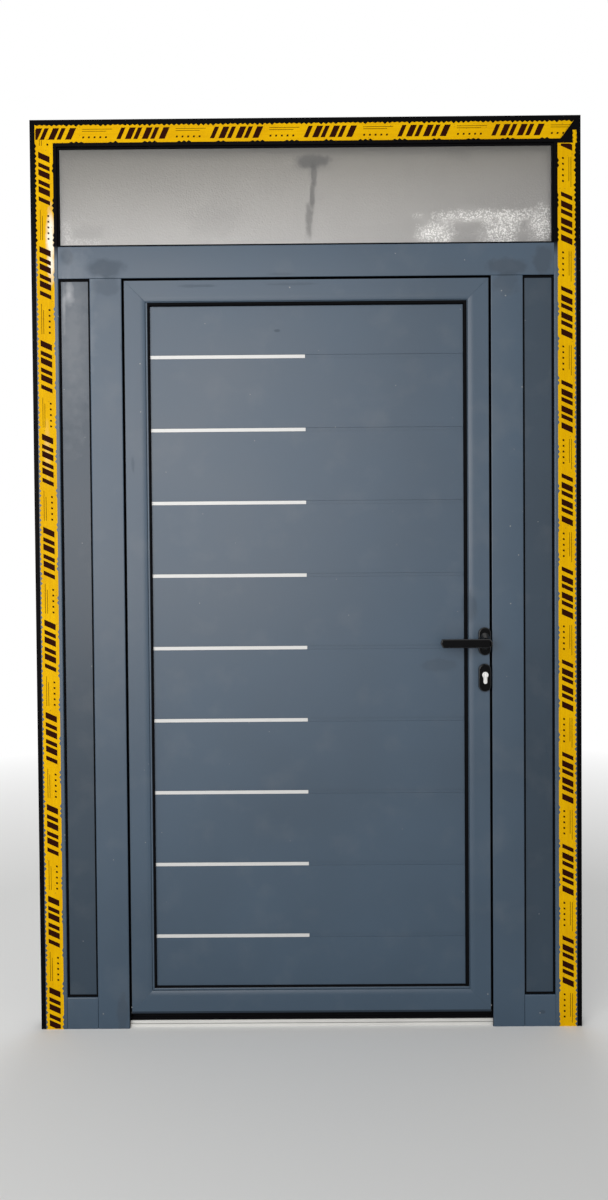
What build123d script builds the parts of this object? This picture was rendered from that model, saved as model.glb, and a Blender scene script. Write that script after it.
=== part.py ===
from build123d import *
import math
import os

# An aluminium entrance door with its frame. The leaf carries a grooved panel with nine
# metal inlay strips, a narrow fixed panel stands on each side of it, and a glass light
# lies over all three. The leaf opens inwards on three barrel hinges at the left.
# X runs to the right as seen from outside, Y into the building and Z up. The origin is
# in the middle of the frame's underside, half way through its depth. All in millimetres.

# Overall size of the frame
frame_width = 1500.0
frame_height = 2500.0
system_depth = 70.0

# Place of the leaf in the frame, and the width of each side panel between its legs
side_light = 85.0
leaf_top = 2063.0
leaf_bottom = 48.0
door_gap = 6.0

# Hollow profiles: an outer and an inner aluminium shell, joined by plastic strips
shell_depth = 24.0
wall = 2.0
break_wall = 2.0
break_inset = 3.0
jamb_body = 51.0
bar_body = 44.0
sill_body = 66.0
leaf_body = 42.0
leg = 22.0
leg_plate = 2.0
leg_tip = 8.0
leg_depth = 5.0
leg_nose = 3.0
leaf_overlap = 20.0
leaf_slope = 16.0
leaf_slope_depth = 3.0
nose_radius = 3.0
nose_setback = 3.5
nose_heel = 1.0
break_nose_inset = 2.0
break_nose_width = 18.0
break_nose_reach = 17.0
cleat_arm = 70.0
cleat_clearance = 0.2

# Infills, gaskets and glazing beads
outer_gasket = 3.0
inner_gasket = 4.0
gasket_lip = 5.5
gasket_cover = 6.0
gasket_bevel = 2.0
infill_depth = 28.0
edge_clearance = 5.0
pane = 6.0
spacer_width = 12.0
spacer_inset = 4.0
skin = 2.0
bead_wall = 1.6
bead_bevel = 1.5
block_length = 60.0
block_share = 0.2

# Grooved leaf panel with inlay strips on its left half
groove_count = 9
groove_pitch = 200.0
groove_width = 10.0
groove_depth = 1.5
face_skin = 3.0
strip_clearance = 0.3
strip_end = -4.0

# Door stop, seals and threshold
stop_depth = 19.0
seal_width = 14.0
seal_clearance = 0.3
threshold_height = 25.0
threshold_setback = 10.0
threshold_step = 3.0
threshold_break = 10.0
threshold_break_place = 2.0
tread_ribs = 4
tread_pitch = 4.5
tread_groove = 2.0
tread_depth = 0.8
carrier_height = 6.0
carrier_setback = 2.0
lip_width = 6.0
lip_inset = 12.0

# Hinges on the inner face
hinge_count = 3
hinge_end = 200.0
hinge_height = 120.0
knuckle_radius = 10.0
knuckle_standoff = 11.0
hinge_pin_radius = 5.0
running_clearance = 0.05
middle_knuckle = 50.0
knuckle_gap = 0.4
wing_width = 34.0
wing_plate = 5.0
wing_gap = 6.0
pin_cap = 3.0

# Lock, cylinder and lever handle
spindle_height = 1070.0
cylinder_spacing = 92.0
backset = 35.0
lock_depth = 50.0
lock_thickness = 16.0
lock_wall = 1.5
lock_top = 60.0
lock_bottom = 130.0
faceplate = 3.0
faceplate_width = 20.0
faceplate_end = 25.0
latch_height = 26.0
latch_thickness = 12.0
latch_rise = 35.0
latch_reach = 12.0
latch_length = 48.0
latch_nose = 2.0
bolt_height = 28.0
bolt_drop = 47.0
bolt_length = 47.0
bolt_bevel = 1.0
slide_clearance = 0.3
strike_plate = 2.5
strike_margin = 40.0
spindle_side = 8.0
spindle_clearance = 0.1
follower_radius = 11.0
follower_boss = 8.0
follower_lug = 19.0
lug_width = 7.0
plug_radius = 6.5
plug_stand = 1.0
cylinder_radius = 8.5
cylinder_lobe = 10.0
cylinder_height = 33.0
cylinder_stand = 13.0
cam_radius = 14.0
cam_depth = 9.0
cam_width = 9.0
cam_clearance = 0.5
keyway_width = 2.0
keyway_height = 8.0
keyway_depth = 4.0
rosette_width = 34.0
rosette_height = 77.0
rosette_depth = 10.0
rosette_edge = 2.0
lever_length = 127.0
lever_height = 24.0
lever_depth = 13.0
lever_bevel = 2.0
lever_stand = 32.0
lever_drop = 3.0
tip_slant_top = 3.5
tip_slant_low = 6.5
neck_radius = 10.5
neck_clearance = 0.5
neck_foot_width = 27.0
neck_foot_height = 48.0
neck_waist = 14.0
neck_gap = 0.3

# Screws, wall fixings and protective tape
screw_radius = 2.4
screw_head = 4.4
screw_head_depth = 2.6
screw_length = 14.0
screw_edge = 13.2
pilot_depth = 9.0
hole_clearance = 0.2
fixing_radius = 4.0
fixing_ends = 200.0
fixing_middle = 900.0
tape_width = 49.0
tape_inset = 14.0
tape_thickness = 0.3
tape_end_inset = 18.0
tape_slant = 37.0
tape_strip_width = 13.0
tape_strip_inset = 10.0
tape_strip_low = 75.0
tape_strip_high = 40.0

# How far a cutting body reaches past what it cuts
cut_margin = 1.0

# Planes that follow from the sizes above
half_width = frame_width / 2
y_out = -system_depth / 2
y_in = system_depth / 2
y_outer_back = y_out + shell_depth
y_inner_front = y_in - shell_depth
y_leg_back = y_out + leg_depth
y_infill = y_leg_back + outer_gasket
y_infill_back = y_infill + infill_depth
y_bead = y_infill_back + inner_gasket
y_stop_back = y_leg_back + stop_depth
x_body_jamb = half_width - jamb_body
x_leg_jamb = x_body_jamb - leg
x_leg_side = x_leg_jamb - side_light
x_body_side = x_leg_side - leg
x_body_door = x_body_side - bar_body
x_leg_door = x_body_door - leg
half_leaf = x_leg_door - door_gap
x_flange = half_leaf + leaf_overlap
z_leg_door = leaf_top + door_gap
z_body_low = z_leg_door + leg
z_body_high = z_body_low + bar_body
z_leg_light = z_body_high + leg
z_body_head = frame_height - jamb_body
z_flange = leaf_top + leaf_overlap
x_leaf_floor = half_leaf - leaf_body
z_leaf_floor = leaf_bottom + leaf_body
z_leaf_ceiling = leaf_top - leaf_body
hinge_x = -(x_flange + x_body_door) / 2
hinge_y = y_in + knuckle_standoff
lock_x = x_flange - backset
lock_y = (y_inner_front + y_in) / 2
cylinder_z = spindle_height - cylinder_spacing
latch_z = spindle_height + latch_rise
bolt_z = spindle_height - bolt_drop
screw_room = screw_radius + hole_clearance
mitre_reach = 2 * (jamb_body + leg)
far = 4 * system_depth


def rect(u_low, u_high, y_low, y_high):
    """A rectangle of a bar's cross-section, from its limits across the bar and in depth."""
    return Pos((u_low + u_high) / 2, (y_low + y_high) / 2) * Rectangle(u_high - u_low, y_high - y_low)


def upright(section, z_low, z_high):
    """A vertical bar whose section is drawn in X and Y."""
    return Pos(0, 0, z_low) * extrude(section, z_high - z_low)


def level(section, x_low, x_high):
    """A horizontal bar whose section is drawn in Z and Y."""
    plane = Plane(origin=(x_high, 0, 0), x_dir=(0, 0, 1), z_dir=(-1, 0, 0))
    return extrude(plane * section, x_high - x_low)


def plate(outline, y_low, y_high):
    """A flat piece whose outline is drawn in X and Z, between two depths."""
    plane = Plane(origin=(0, y_high, 0), x_dir=(1, 0, 0), z_dir=(0, -1, 0))
    return extrude(plane * outline, y_high - y_low)


def panel(x_low, x_high, z_low, z_high, y_low, y_high):
    """A rectangular plate between two depths."""
    return plate(rect(x_low, x_high, z_low, z_high), y_low, y_high)


def elevation(points):
    """Everything behind a polygon of the front view, to cut a bar's ends."""
    return plate(make_face(Polyline(*points, close=True)), -far, far)


def tube(u_low, u_high, y_low, y_high, thickness):
    """The section of a hollow box profile."""
    core = rect(u_low + thickness, u_high - thickness, y_low + thickness, y_high - thickness)
    return rect(u_low, u_high, y_low, y_high) - core


def glazing_leg(u_root, u_tip):
    """The leg that holds an infill's outer gasket: a thin plate with a deeper, round-nosed tip."""
    inward = math.copysign(1, u_tip - u_root)
    tip_start = u_tip - inward * leg_tip
    tip = rect(min(tip_start, u_tip), max(tip_start, u_tip), y_out, y_leg_back)
    nose = tip.vertices().group_by(Axis.Y)[0].sort_by(Axis.X)[-1 if inward > 0 else 0]
    stem = rect(*sorted([u_root, tip_start]), y_out, y_out + leg_plate)
    return fillet(nose, leg_nose) + stem


def outer_section(u_low, u_high, tips):
    """The outer shell of a frame bar, with a glazing leg to each of the given tips."""
    section = tube(u_low, u_high, y_out, y_outer_back, wall)
    for tip in tips:
        section += glazing_leg(u_high if tip > u_high else u_low, tip)
    return section


def inner_section(u_low, u_high):
    """The inner shell of a bar."""
    return tube(u_low, u_high, y_inner_front, y_in, wall)


def break_section(u_low, u_high):
    """The two plastic strips between the shells of a bar."""
    low = u_low + break_inset
    high = u_high - break_inset
    strips = rect(low, low + break_wall, y_outer_back, y_inner_front)
    return strips + rect(high - break_wall, high, y_outer_back, y_inner_front)


def leaf_leg(u_root, inward):
    """The leaf's glazing leg: a slope behind the face that ends in a rounded nose."""
    slope_end = u_root + inward * leaf_slope
    tip = u_root + inward * leg
    nose = Pos(tip - inward * nose_radius, y_out + nose_setback) * Circle(nose_radius)
    corners = [
        (u_root, y_out),
        (slope_end, y_out + leaf_slope_depth),
        (tip - inward * nose_radius, y_out + leaf_slope_depth),
        (tip - inward * nose_radius, y_leg_back),
        (u_root, y_leg_back),
    ]
    clip = rect(min(u_root, tip), max(u_root, tip), y_out, y_leg_back)
    stem = make_face(Polyline(*corners, close=True))
    heel = rect(min(slope_end, tip), max(slope_end, tip), y_leg_back - nose_heel, y_leg_back)
    return (stem + nose + heel) & clip


def solids(*pieces):
    """One flat list of the solids in several shapes."""
    return [solid for piece in pieces for solid in piece.solids()]


def ring(x_low, x_high, z_low, z_high, width, y_low, y_high):
    """A flat rectangular ring, of the given width inside its outline."""
    outline = rect(x_low, x_high, z_low, z_high)
    hole = rect(x_low + width, x_high - width, z_low + width, z_high - width)
    return plate(outline - hole, y_low, y_high)


def round_hole(x, z, radius, y_low, y_high):
    """A cylinder along Y."""
    return plate(Pos(x, z) * Circle(radius), y_low, y_high)


def side_hole(x_low, x_high, y, z, radius):
    """A cylinder along X."""
    return Pos((x_low + x_high) / 2, y, z) * Rot(0, 90, 0) * Cylinder(radius, x_high - x_low)


def screw(x, z, y_seat, toward):
    """A pan-head screw along Y. Its head lies on y_seat and toward is the way it is driven."""
    head = round_hole(x, z, screw_head, *sorted([y_seat, y_seat - toward * screw_head_depth]))
    return head + round_hole(x, z, screw_radius, *sorted([y_seat, y_seat + toward * screw_length]))


def countersink(x_seat, y, z, toward, clearance):
    """A countersunk screw along X, flush with x_seat, or with a clearance the room for it."""
    shank = screw_radius + clearance
    head = screw_head + clearance
    depth = head - shank
    cone = Pos(x_seat + toward * depth / 2, y, z) * Rot(0, 90 * toward, 0) * Cone(head, shank, depth)
    tip = x_seat + toward * (screw_length + clearance)
    return cone + side_hole(min(x_seat, tip), max(x_seat, tip), y, z, shank)


def hinge_levels():
    """The height of each hinge's middle."""
    lowest = leaf_bottom + hinge_end
    step = (leaf_top - hinge_end - lowest) / (hinge_count - 1)
    return [lowest + index * step for index in range(hinge_count)]


def wing_screw_x(side):
    """Where the screws of a hinge wing stand. side is -1 for the frame and 1 for the leaf."""
    return hinge_x + side * (wing_gap + wing_width / 2)


def hinge_screw_places(z_middle):
    """The heights of the screws in one hinge wing."""
    reach = hinge_height / 2 - screw_edge
    return [z_middle - reach, z_middle, z_middle + reach]


# Frame profiles
def jamb(side):
    """A jamb, mitred to the head, with blind holes for the wall fixings."""
    body = sorted([side * half_width, side * x_body_jamb])
    near = side * half_width
    far_edge = near - side * mitre_reach
    z_far = frame_height - mitre_reach
    mitre = elevation([(near, 0), (near, frame_height), (far_edge, z_far), (far_edge, 0)])
    outer = upright(outer_section(*body, [side * x_leg_jamb]), 0, frame_height)
    inner = upright(inner_section(*body), 0, frame_height)
    for z in fixing_levels():
        wall_hole = sorted([near - side * 2 * wall, near + side * wall])
        inner -= side_hole(*wall_hole, lock_y, z, fixing_radius)
    strips = upright(break_section(*body), 0, frame_height)
    return solids(outer & mitre, inner & mitre), solids(strips & mitre)


def fixing_levels():
    """The heights of the wall fixings in each jamb: an outer pair and an inner pair."""
    middle = frame_height / 2
    outer_reach = middle - fixing_ends
    inner_reach = fixing_middle / 2
    return [middle - outer_reach, middle - inner_reach, middle + inner_reach, middle + outer_reach]


def head():
    """The head, mitred to both jambs."""
    x_far = half_width - mitre_reach
    z_far = frame_height - mitre_reach
    corners = [(-half_width, frame_height), (half_width, frame_height), (x_far, z_far), (-x_far, z_far)]
    mitre = elevation(corners)
    body = [z_body_head, frame_height]
    outer = level(outer_section(*body, [z_body_head - leg]), -half_width, half_width)
    inner = level(inner_section(*body), -half_width, half_width)
    strips = level(break_section(*body), -half_width, half_width)
    return solids(outer & mitre, inner & mitre), solids(strips & mitre)


def leg_notch(x_low, x_high, z_low, z_high):
    """The room for a neighbour's glazing leg at a milled bar end."""
    return panel(x_low, x_high, z_low, z_high, y_out - cut_margin, y_leg_back)


def leg_stub(x_low, x_high, z_low, z_high):
    """What is milled off a bar's legs where its body enters a neighbour."""
    return panel(x_low, x_high, z_low, z_high, y_out - cut_margin, y_outer_back)


def transom():
    """The bar between the door and the light, milled over the jambs' glazing legs."""
    body = [z_body_low, z_body_high]
    outer = level(outer_section(*body, [z_leg_door, z_leg_light]), -x_body_jamb, x_body_jamb)
    for side in (-1, 1):
        limits = sorted([side * x_leg_jamb, side * half_width])
        outer -= leg_notch(*limits, z_leg_door - cut_margin, z_leg_light + cut_margin)
        stub = sorted([side * x_leg_jamb, side * (x_body_jamb + cut_margin)])
        outer -= leg_stub(*stub, z_leg_door - cut_margin, z_body_low)
        outer -= leg_stub(*stub, z_body_high, z_leg_light + cut_margin)
    inner = level(inner_section(*body), -x_body_jamb, x_body_jamb)
    strips = level(break_section(*body), -x_body_jamb, x_body_jamb)
    return solids(outer, inner), solids(strips)


def mullion(side):
    """A mullion beside the leaf, milled over the transom's lower leg."""
    body = sorted([side * x_body_door, side * x_body_side])
    outer = upright(outer_section(*body, [side * x_leg_door, side * x_leg_side]), 0, z_body_low)
    span = sorted([side * (x_leg_door - cut_margin), side * (x_leg_side + cut_margin)])
    outer -= leg_notch(*span, z_leg_door, z_body_low + cut_margin)
    inner = upright(inner_section(*body), 0, z_body_low)
    for tip, root in ((x_leg_door - cut_margin, x_body_door), (x_body_side, x_leg_side + cut_margin)):
        outer -= leg_stub(*sorted([side * tip, side * root]), z_leg_door, z_body_low + cut_margin)
    if side > 0:
        inner -= strike_pockets()
        for z in strike_screw_levels():
            inner -= side_hole(x_body_door - wall, x_body_door + 2 * wall, lock_y, z, screw_room)
    else:
        inner -= wing_screw_holes(-1)
    return solids(outer, inner), solids(upright(break_section(*body), 0, z_body_low))


def sill_rail(side):
    """The bottom bar of a side panel, between the jamb and the mullion."""
    span = sorted([side * x_body_side, side * x_body_jamb])
    outer = level(outer_section(0, sill_body, [sill_body + leg]), *span)
    top = sill_body + leg + cut_margin
    for near, beyond in ((x_leg_side, x_body_side - cut_margin), (x_leg_jamb, x_body_jamb + cut_margin)):
        stub = sorted([side * near, side * beyond])
        outer -= leg_notch(*stub, -cut_margin, top)
        outer -= leg_stub(*stub, sill_body, top)
    inner = level(inner_section(0, sill_body), *span)
    return solids(outer, inner), solids(level(break_section(0, sill_body), *span))


def cleat(x_corner, z_corner, x_way, z_way, u_low, u_high, y_low, y_high):
    """An L-shaped corner cleat that fills the chambers of two mitred bars."""
    low = u_low + wall + cleat_clearance
    high = u_high - wall - cleat_clearance
    points = [
        (low, low), (cleat_arm, low), (cleat_arm, high), (high, high), (high, cleat_arm), (low, cleat_arm),
    ]
    placed = [(x_corner + x_way * u, z_corner + z_way * w) for u, w in points]
    outline = make_face(Polyline(*placed, close=True))
    inset = wall + cleat_clearance
    return plate(outline, y_low + inset, y_high - inset)


def frame_connectors():
    """Corner cleats at the head, and blocks in the ends of the transom and the sill rails."""
    pieces = []
    inset = wall + cleat_clearance
    for y_low, y_high in ((y_out, y_outer_back), (y_inner_front, y_in)):
        for side in (-1, 1):
            pieces.append(cleat(side * half_width, frame_height, -side, -1, 0, jamb_body, y_low, y_high))
            deep = inset if y_low > 0 else leg_depth + cleat_clearance
            depth = (y_low + deep, y_high - inset)
            ends = sorted([side * (x_body_jamb - cleat_arm / 2), side * (x_body_jamb - cleat_clearance)])
            pieces.append(panel(*ends, z_body_low + inset, z_body_high - inset, *depth))
            pieces.append(panel(*ends, inset, sill_body - inset, *depth))
            bar = sorted([side * (x_body_door + inset), side * (x_body_side - inset)])
            pieces.append(panel(*bar, z_body_low - cleat_arm / 2, z_body_low - cleat_clearance, *depth))
    return solids(*pieces)


# Infills
def infill_places():
    """The rebate of each fixed infill, from the bar bodies around it."""
    side_panels = [
        sorted([side * x_body_side, side * x_body_jamb]) + [sill_body, z_body_low] for side in (-1, 1)
    ]
    return [[-x_body_jamb, x_body_jamb, z_body_high, z_body_head]] + side_panels


def inset_rect(place, inset):
    """A place drawn in by the same distance on all four sides."""
    x_low, x_high, z_low, z_high = place
    return [x_low + inset, x_high - inset, z_low + inset, z_high - inset]


def outer_gasket_ring(place):
    """The gasket between a glazing leg and its infill, with the lip that shows."""
    width = gasket_cover + gasket_lip
    body = ring(*inset_rect(place, leg - gasket_cover), width, y_leg_back, y_infill)
    lip = body.faces().sort_by(Axis.Y)[0].inner_wires()[0]
    return chamfer(lip.edges(), gasket_bevel)


def inner_gasket_ring(place):
    """The gasket between an infill and its glazing beads."""
    width = gasket_cover + inner_gasket
    return ring(*inset_rect(place, leg - gasket_cover), width, y_infill_back, y_bead)


def bead_section(u_wall, u_tip):
    """The section of a hollow glazing bead, bevelled at the edge that frames the infill."""
    box = tube(*sorted([u_wall, u_tip]), y_bead, y_in, bead_wall)
    corner = box.vertices().group_by(Axis.Y)[-1].sort_by(Axis.X)[-1 if u_tip > u_wall else 0]
    return chamfer(corner, bead_bevel)


def bead_bars(place):
    """The four hollow glazing beads of an infill, mitred at the corners."""
    x_low, x_high, z_low, z_high = place
    x_left, x_right, z_under, z_over = inset_rect(place, leg)
    outer = [(x_low, z_low), (x_low, z_high), (x_high, z_high), (x_high, z_low)]
    inner = [(x_left, z_under), (x_left, z_over), (x_right, z_over), (x_right, z_under)]
    bars = [
        upright(bead_section(x_low, x_left), z_low, z_high),
        level(bead_section(z_high, z_over), x_low, x_high),
        upright(bead_section(x_high, x_right), z_low, z_high),
        level(bead_section(z_low, z_under), x_low, x_high),
    ]
    pieces = []
    for bar, end in zip(bars, (1, 2, 3, 0)):
        pieces.append(bar & elevation([outer[end - 1], outer[end], inner[end], inner[end - 1]]))
    return solids(*pieces)


def setting_blocks(place):
    """Two plastic blocks that carry an infill above its rebate."""
    x_low, x_high, z_low, _ = place
    width = x_high - x_low
    length = min(block_length, width * block_share)
    return solids(*[
        panel(x - length / 2, x + length / 2, z_low, z_low + edge_clearance, y_infill, y_infill_back)
        for x in (x_low + width * block_share, x_high - width * block_share)
    ])


def groove_levels():
    """The height of each groove's middle, centred in the leaf's rebate."""
    middle = (z_leaf_floor + z_leaf_ceiling) / 2
    return [middle + (index - (groove_count - 1) / 2) * groove_pitch for index in range(groove_count)]


def leaf_face_skin():
    """The outer sheet of the leaf's panel, with its horizontal grooves."""
    x_edge = x_leaf_floor - edge_clearance
    sheet = panel(-x_edge, x_edge, z_leaf_floor + edge_clearance, z_leaf_ceiling - edge_clearance,
                  y_infill, y_infill + face_skin)
    half = groove_width / 2
    for z in groove_levels():
        sheet -= panel(-x_edge - cut_margin, x_edge + cut_margin, z - half, z + half,
                       y_infill - cut_margin, y_infill + groove_depth)
    return solids(sheet)


def inlay_strips():
    """The metal strips that lie in the left half of the grooves."""
    x_start = -(x_leaf_floor - edge_clearance) + strip_clearance
    half = groove_width / 2 - strip_clearance
    return solids(*[
        panel(x_start, strip_end, z - half, z + half, y_infill, y_infill + groove_depth)
        for z in groove_levels()
    ])


# Leaf profiles
def leaf_outline(edge):
    """The mitred front view of one leaf bar."""
    deep = half_leaf / 2
    reach = leaf_overlap * 2
    high = leaf_top
    if edge == "top":
        return elevation([
            (-half_leaf - reach, high + reach), (half_leaf + reach, high + reach),
            (half_leaf - deep, high - deep), (-half_leaf + deep, high - deep),
        ])
    if edge == "bottom":
        return elevation([
            (-half_leaf, leaf_bottom), (half_leaf, leaf_bottom),
            (half_leaf - deep, leaf_bottom + deep), (-half_leaf + deep, leaf_bottom + deep),
        ])
    side = 1 if edge == "right" else -1
    return elevation([
        (side * (half_leaf + reach), leaf_bottom), (side * half_leaf, leaf_bottom),
        (side * (half_leaf - deep), leaf_bottom + deep), (side * (half_leaf - deep), high - deep),
        (side * (half_leaf + reach), high + reach),
    ])


def leaf_outer_section(edge_place, inward):
    """The outer shell of a leaf bar, whose outer edge is at edge_place."""
    root = edge_place + inward * leaf_body
    box = tube(min(edge_place, root), max(edge_place, root), y_out, y_outer_back, wall)
    return box + leaf_leg(root, inward)


def leaf_break_section(edge_place, inward, with_nose):
    """The plastic strips of a leaf bar, with the hollow nose that meets the door seal."""
    root = edge_place + inward * leaf_body
    strips = break_section(min(edge_place, root), max(edge_place, root))
    if with_nose:
        start = edge_place - inward * break_nose_inset
        end = start - inward * break_nose_width
        front = y_inner_front - break_nose_reach
        strips += tube(*sorted([start, end]), front, y_inner_front, break_wall)
    return strips


def stile(side):
    """A leaf stile with its outer shell, inner shell and plastic strips."""
    outline = leaf_outline("right" if side > 0 else "left")
    span = (leaf_bottom - leaf_overlap, z_flange)
    root = side * x_leaf_floor
    outer = upright(leaf_outer_section(side * half_leaf, -side), *span) & outline
    flange = sorted([root, side * x_flange])
    inner = upright(inner_section(*flange), *span) & outline
    strips = upright(leaf_break_section(side * half_leaf, -side, True), *span) & outline
    return outer, inner, strips


def rail(edge):
    """The leaf's top or bottom rail. Only the top one overlaps the frame."""
    outline = leaf_outline(edge)
    top = edge == "top"
    place = leaf_top if top else leaf_bottom
    inward = -1 if top else 1
    root = place + inward * leaf_body
    end = z_flange if top else leaf_bottom
    span = (-x_flange, x_flange) if top else (-half_leaf, half_leaf)
    outer = level(leaf_outer_section(place, inward), *span) & outline
    inner = level(inner_section(min(root, end), max(root, end)), *span) & outline
    strips = level(leaf_break_section(place, inward, top), *span) & outline
    return outer, inner, strips


def leaf_cleats():
    """Corner cleats in both shells at the leaf's four corners."""
    pieces = []
    for side in (-1, 1):
        for z_corner, z_way in ((leaf_top, -1), (leaf_bottom, 1)):
            for y_low, y_high in ((y_out, y_outer_back), (y_inner_front, y_in)):
                pieces.append(cleat(side * half_leaf, z_corner, -side, z_way, 0, leaf_body, y_low, y_high))
    return solids(*pieces)


def euro_profile(clearance):
    """The outline of a profile cylinder round the lock's cylinder axis."""
    radius = cylinder_radius + clearance
    lobe = cylinder_lobe / 2 + clearance
    bottom = cylinder_z + cylinder_radius - cylinder_height
    stem = rect(lock_x - lobe, lock_x + lobe, bottom + lobe - clearance, cylinder_z)
    foot = Pos(lock_x, bottom + lobe - clearance) * Circle(lobe)
    return Pos(lock_x, cylinder_z) * Circle(radius) + stem + foot


def lock_cuts():
    """What is milled out of the lock stile for the case, the cylinder, the spindle and the faceplate."""
    y_reach = lock_thickness / 2 + slide_clearance
    case = panel(x_flange - faceplate - lock_depth - slide_clearance, x_flange + cut_margin,
                 case_low() - slide_clearance, case_high() + slide_clearance,
                 lock_y - y_reach, lock_y + y_reach)
    seat = panel(x_flange - faceplate, x_flange + cut_margin,
                 case_low() - faceplate_end, case_high() + faceplate_end,
                 lock_y - faceplate_width / 2, lock_y + faceplate_width / 2)
    through = plate(euro_profile(hole_clearance), -far, far)
    through += round_hole(lock_x, spindle_height, neck_radius + neck_clearance, -far, far)
    cuts = case + seat + through
    for z in faceplate_screw_levels():
        cuts += side_hole(x_flange - pilot_depth, x_flange, lock_y, z, screw_room)
    return cuts


def case_low():
    """The underside of the lock case."""
    return spindle_height - lock_bottom


def case_high():
    """The top of the lock case."""
    return spindle_height + lock_top


def bolt_opening(z_middle, height, x_low, x_high):
    """A rectangular opening that the latch or the bolt slides through."""
    z_reach = height / 2 + slide_clearance
    y_reach = latch_thickness / 2 + slide_clearance
    return panel(x_low, x_high, z_middle - z_reach, z_middle + z_reach, lock_y - y_reach, lock_y + y_reach)


def lock_case():
    """The hollow lock case, open towards the faceplate, with holes for cylinder and spindle."""
    front = x_flange - faceplate
    half = lock_thickness / 2
    case = panel(front - lock_depth, front, case_low(), case_high(), lock_y - half, lock_y + half)
    case -= panel(front - lock_depth + lock_wall, front + cut_margin,
                  case_low() + lock_wall, case_high() - lock_wall,
                  lock_y - half + lock_wall, lock_y + half - lock_wall)
    case -= plate(euro_profile(hole_clearance), -far, far)
    case -= round_hole(lock_x, spindle_height, follower_boss + running_clearance, -far, far)
    return solids(case)


def lock_faceplate():
    """The plate on the stile's edge that the latch and the bolt pass through."""
    sheet = panel(x_flange - faceplate, x_flange, case_low() - faceplate_end, case_high() + faceplate_end,
                  lock_y - faceplate_width / 2, lock_y + faceplate_width / 2)
    limits = (x_flange - faceplate - cut_margin, x_flange + cut_margin)
    sheet -= bolt_opening(latch_z, latch_height, *limits) + bolt_opening(bolt_z, bolt_height, *limits)
    for z in faceplate_screw_levels():
        sheet -= countersink(x_flange, lock_y, z, -1, hole_clearance)
    return solids(sheet)


def faceplate_screw_levels():
    """The heights of the two faceplate screws."""
    inset = faceplate_end / 2
    return [case_low() - inset, case_high() + inset]


def strike_limits():
    """The lower and upper end of the strike plate."""
    return bolt_z - strike_margin, latch_z + strike_margin


def strike_screw_levels():
    """The heights of the two strike plate screws."""
    low, high = strike_limits()
    return [low + screw_edge, high - screw_edge]


def strike_pockets():
    """The holes that the latch and the bolt enter."""
    limits = (x_body_door - strike_plate - cut_margin, x_body_door + wall + cut_margin)
    return bolt_opening(latch_z, latch_height, *limits) + bolt_opening(bolt_z, bolt_height, *limits)


def strike():
    """The strike plate on the mullion's inner shell."""
    low, high = strike_limits()
    sheet = panel(x_body_door - strike_plate, x_body_door, low, high,
                  lock_y - faceplate_width / 2, lock_y + faceplate_width / 2)
    sheet -= strike_pockets()
    for z in strike_screw_levels():
        sheet -= countersink(x_body_door - strike_plate, lock_y, z, 1, hole_clearance)
    return solids(sheet)


def latch_bolt():
    """The sprung latch, bevelled on the side that meets the strike as the door shuts."""
    tip = x_flange + latch_reach
    half = latch_thickness / 2
    outline = make_face(Polyline(
        (tip - latch_length, lock_y - half), (x_flange, lock_y - half), (tip, lock_y + half - latch_nose),
        (tip, lock_y + half), (tip - latch_length, lock_y + half), close=True,
    ))
    return solids(Pos(0, 0, latch_z - latch_height / 2) * extrude(outline, latch_height))


def deadbolt():
    """The square bolt that the key throws."""
    tip = x_flange - slide_clearance
    bar = panel(tip - bolt_length, tip, bolt_z - bolt_height / 2, bolt_z + bolt_height / 2,
                lock_y - latch_thickness / 2, lock_y + latch_thickness / 2)
    return solids(chamfer(bar.edges().filter_by(Axis.Y).group_by(Axis.X)[-1], bolt_bevel))


def follower():
    """The lock's follower, turned by the spindle, with the lug that draws the latch."""
    half = lock_thickness / 2 - lock_wall - slide_clearance
    outline = Pos(lock_x, spindle_height) * Circle(follower_radius)
    lug = Pos(lock_x, spindle_height + follower_lug / 2) * Rectangle(lug_width, follower_lug)
    outline += lug
    side = spindle_side + 2 * spindle_clearance
    body = plate(outline, lock_y - half, lock_y + half)
    boss = lock_thickness / 2
    body += round_hole(lock_x, spindle_height, follower_boss, lock_y - boss, lock_y + boss)
    return solids(body - plate(Pos(lock_x, spindle_height) * Rectangle(side, side), -far, far))


def lever(way):
    """A lever handle with a flared oval neck. way is -1 for the outer and 1 for the inner one."""
    y_face = way * (system_depth / 2 + rosette_depth)
    y_bar = y_face + way * lever_stand
    y_end = y_bar + way * lever_depth
    half = lever_height / 2
    middle = spindle_height - lever_drop
    tip_x = lock_x - lever_length
    outline = make_face(Polyline(
        (lock_x, middle + half), (tip_x + tip_slant_top, middle + half), (tip_x, middle),
        (tip_x + tip_slant_low, middle - half), (lock_x, middle - half), close=True,
    ))
    outline += Pos(lock_x, middle) * Circle(half)
    bar = plate(outline, min(y_bar, y_end), max(y_bar, y_end))
    outer_face = bar.faces().sort_by(Axis.Y)[0 if way < 0 else -1]
    bar = chamfer(outer_face.edges(), lever_bevel)
    foot_y = y_face + way * neck_gap
    foot = neck_plane(foot_y) * SlotOverall(neck_foot_height, neck_foot_width, 90)
    waist = neck_plane(foot_y + way * neck_waist) * Circle(neck_radius)
    neck = loft([foot.face(), waist.face()])
    neck += round_hole(lock_x, spindle_height, neck_radius, *sorted([foot_y, y_bar]))
    stub = way * (system_depth / 2 - wall)
    neck += round_hole(lock_x, spindle_height, neck_radius, *sorted([stub, foot_y]))
    side = spindle_side + 2 * spindle_clearance
    socket_outline = Pos(lock_x, spindle_height) * Rectangle(side, side)
    return solids(bar + neck - plate(socket_outline, *sorted([stub - way, spindle_end(way)])))


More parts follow.
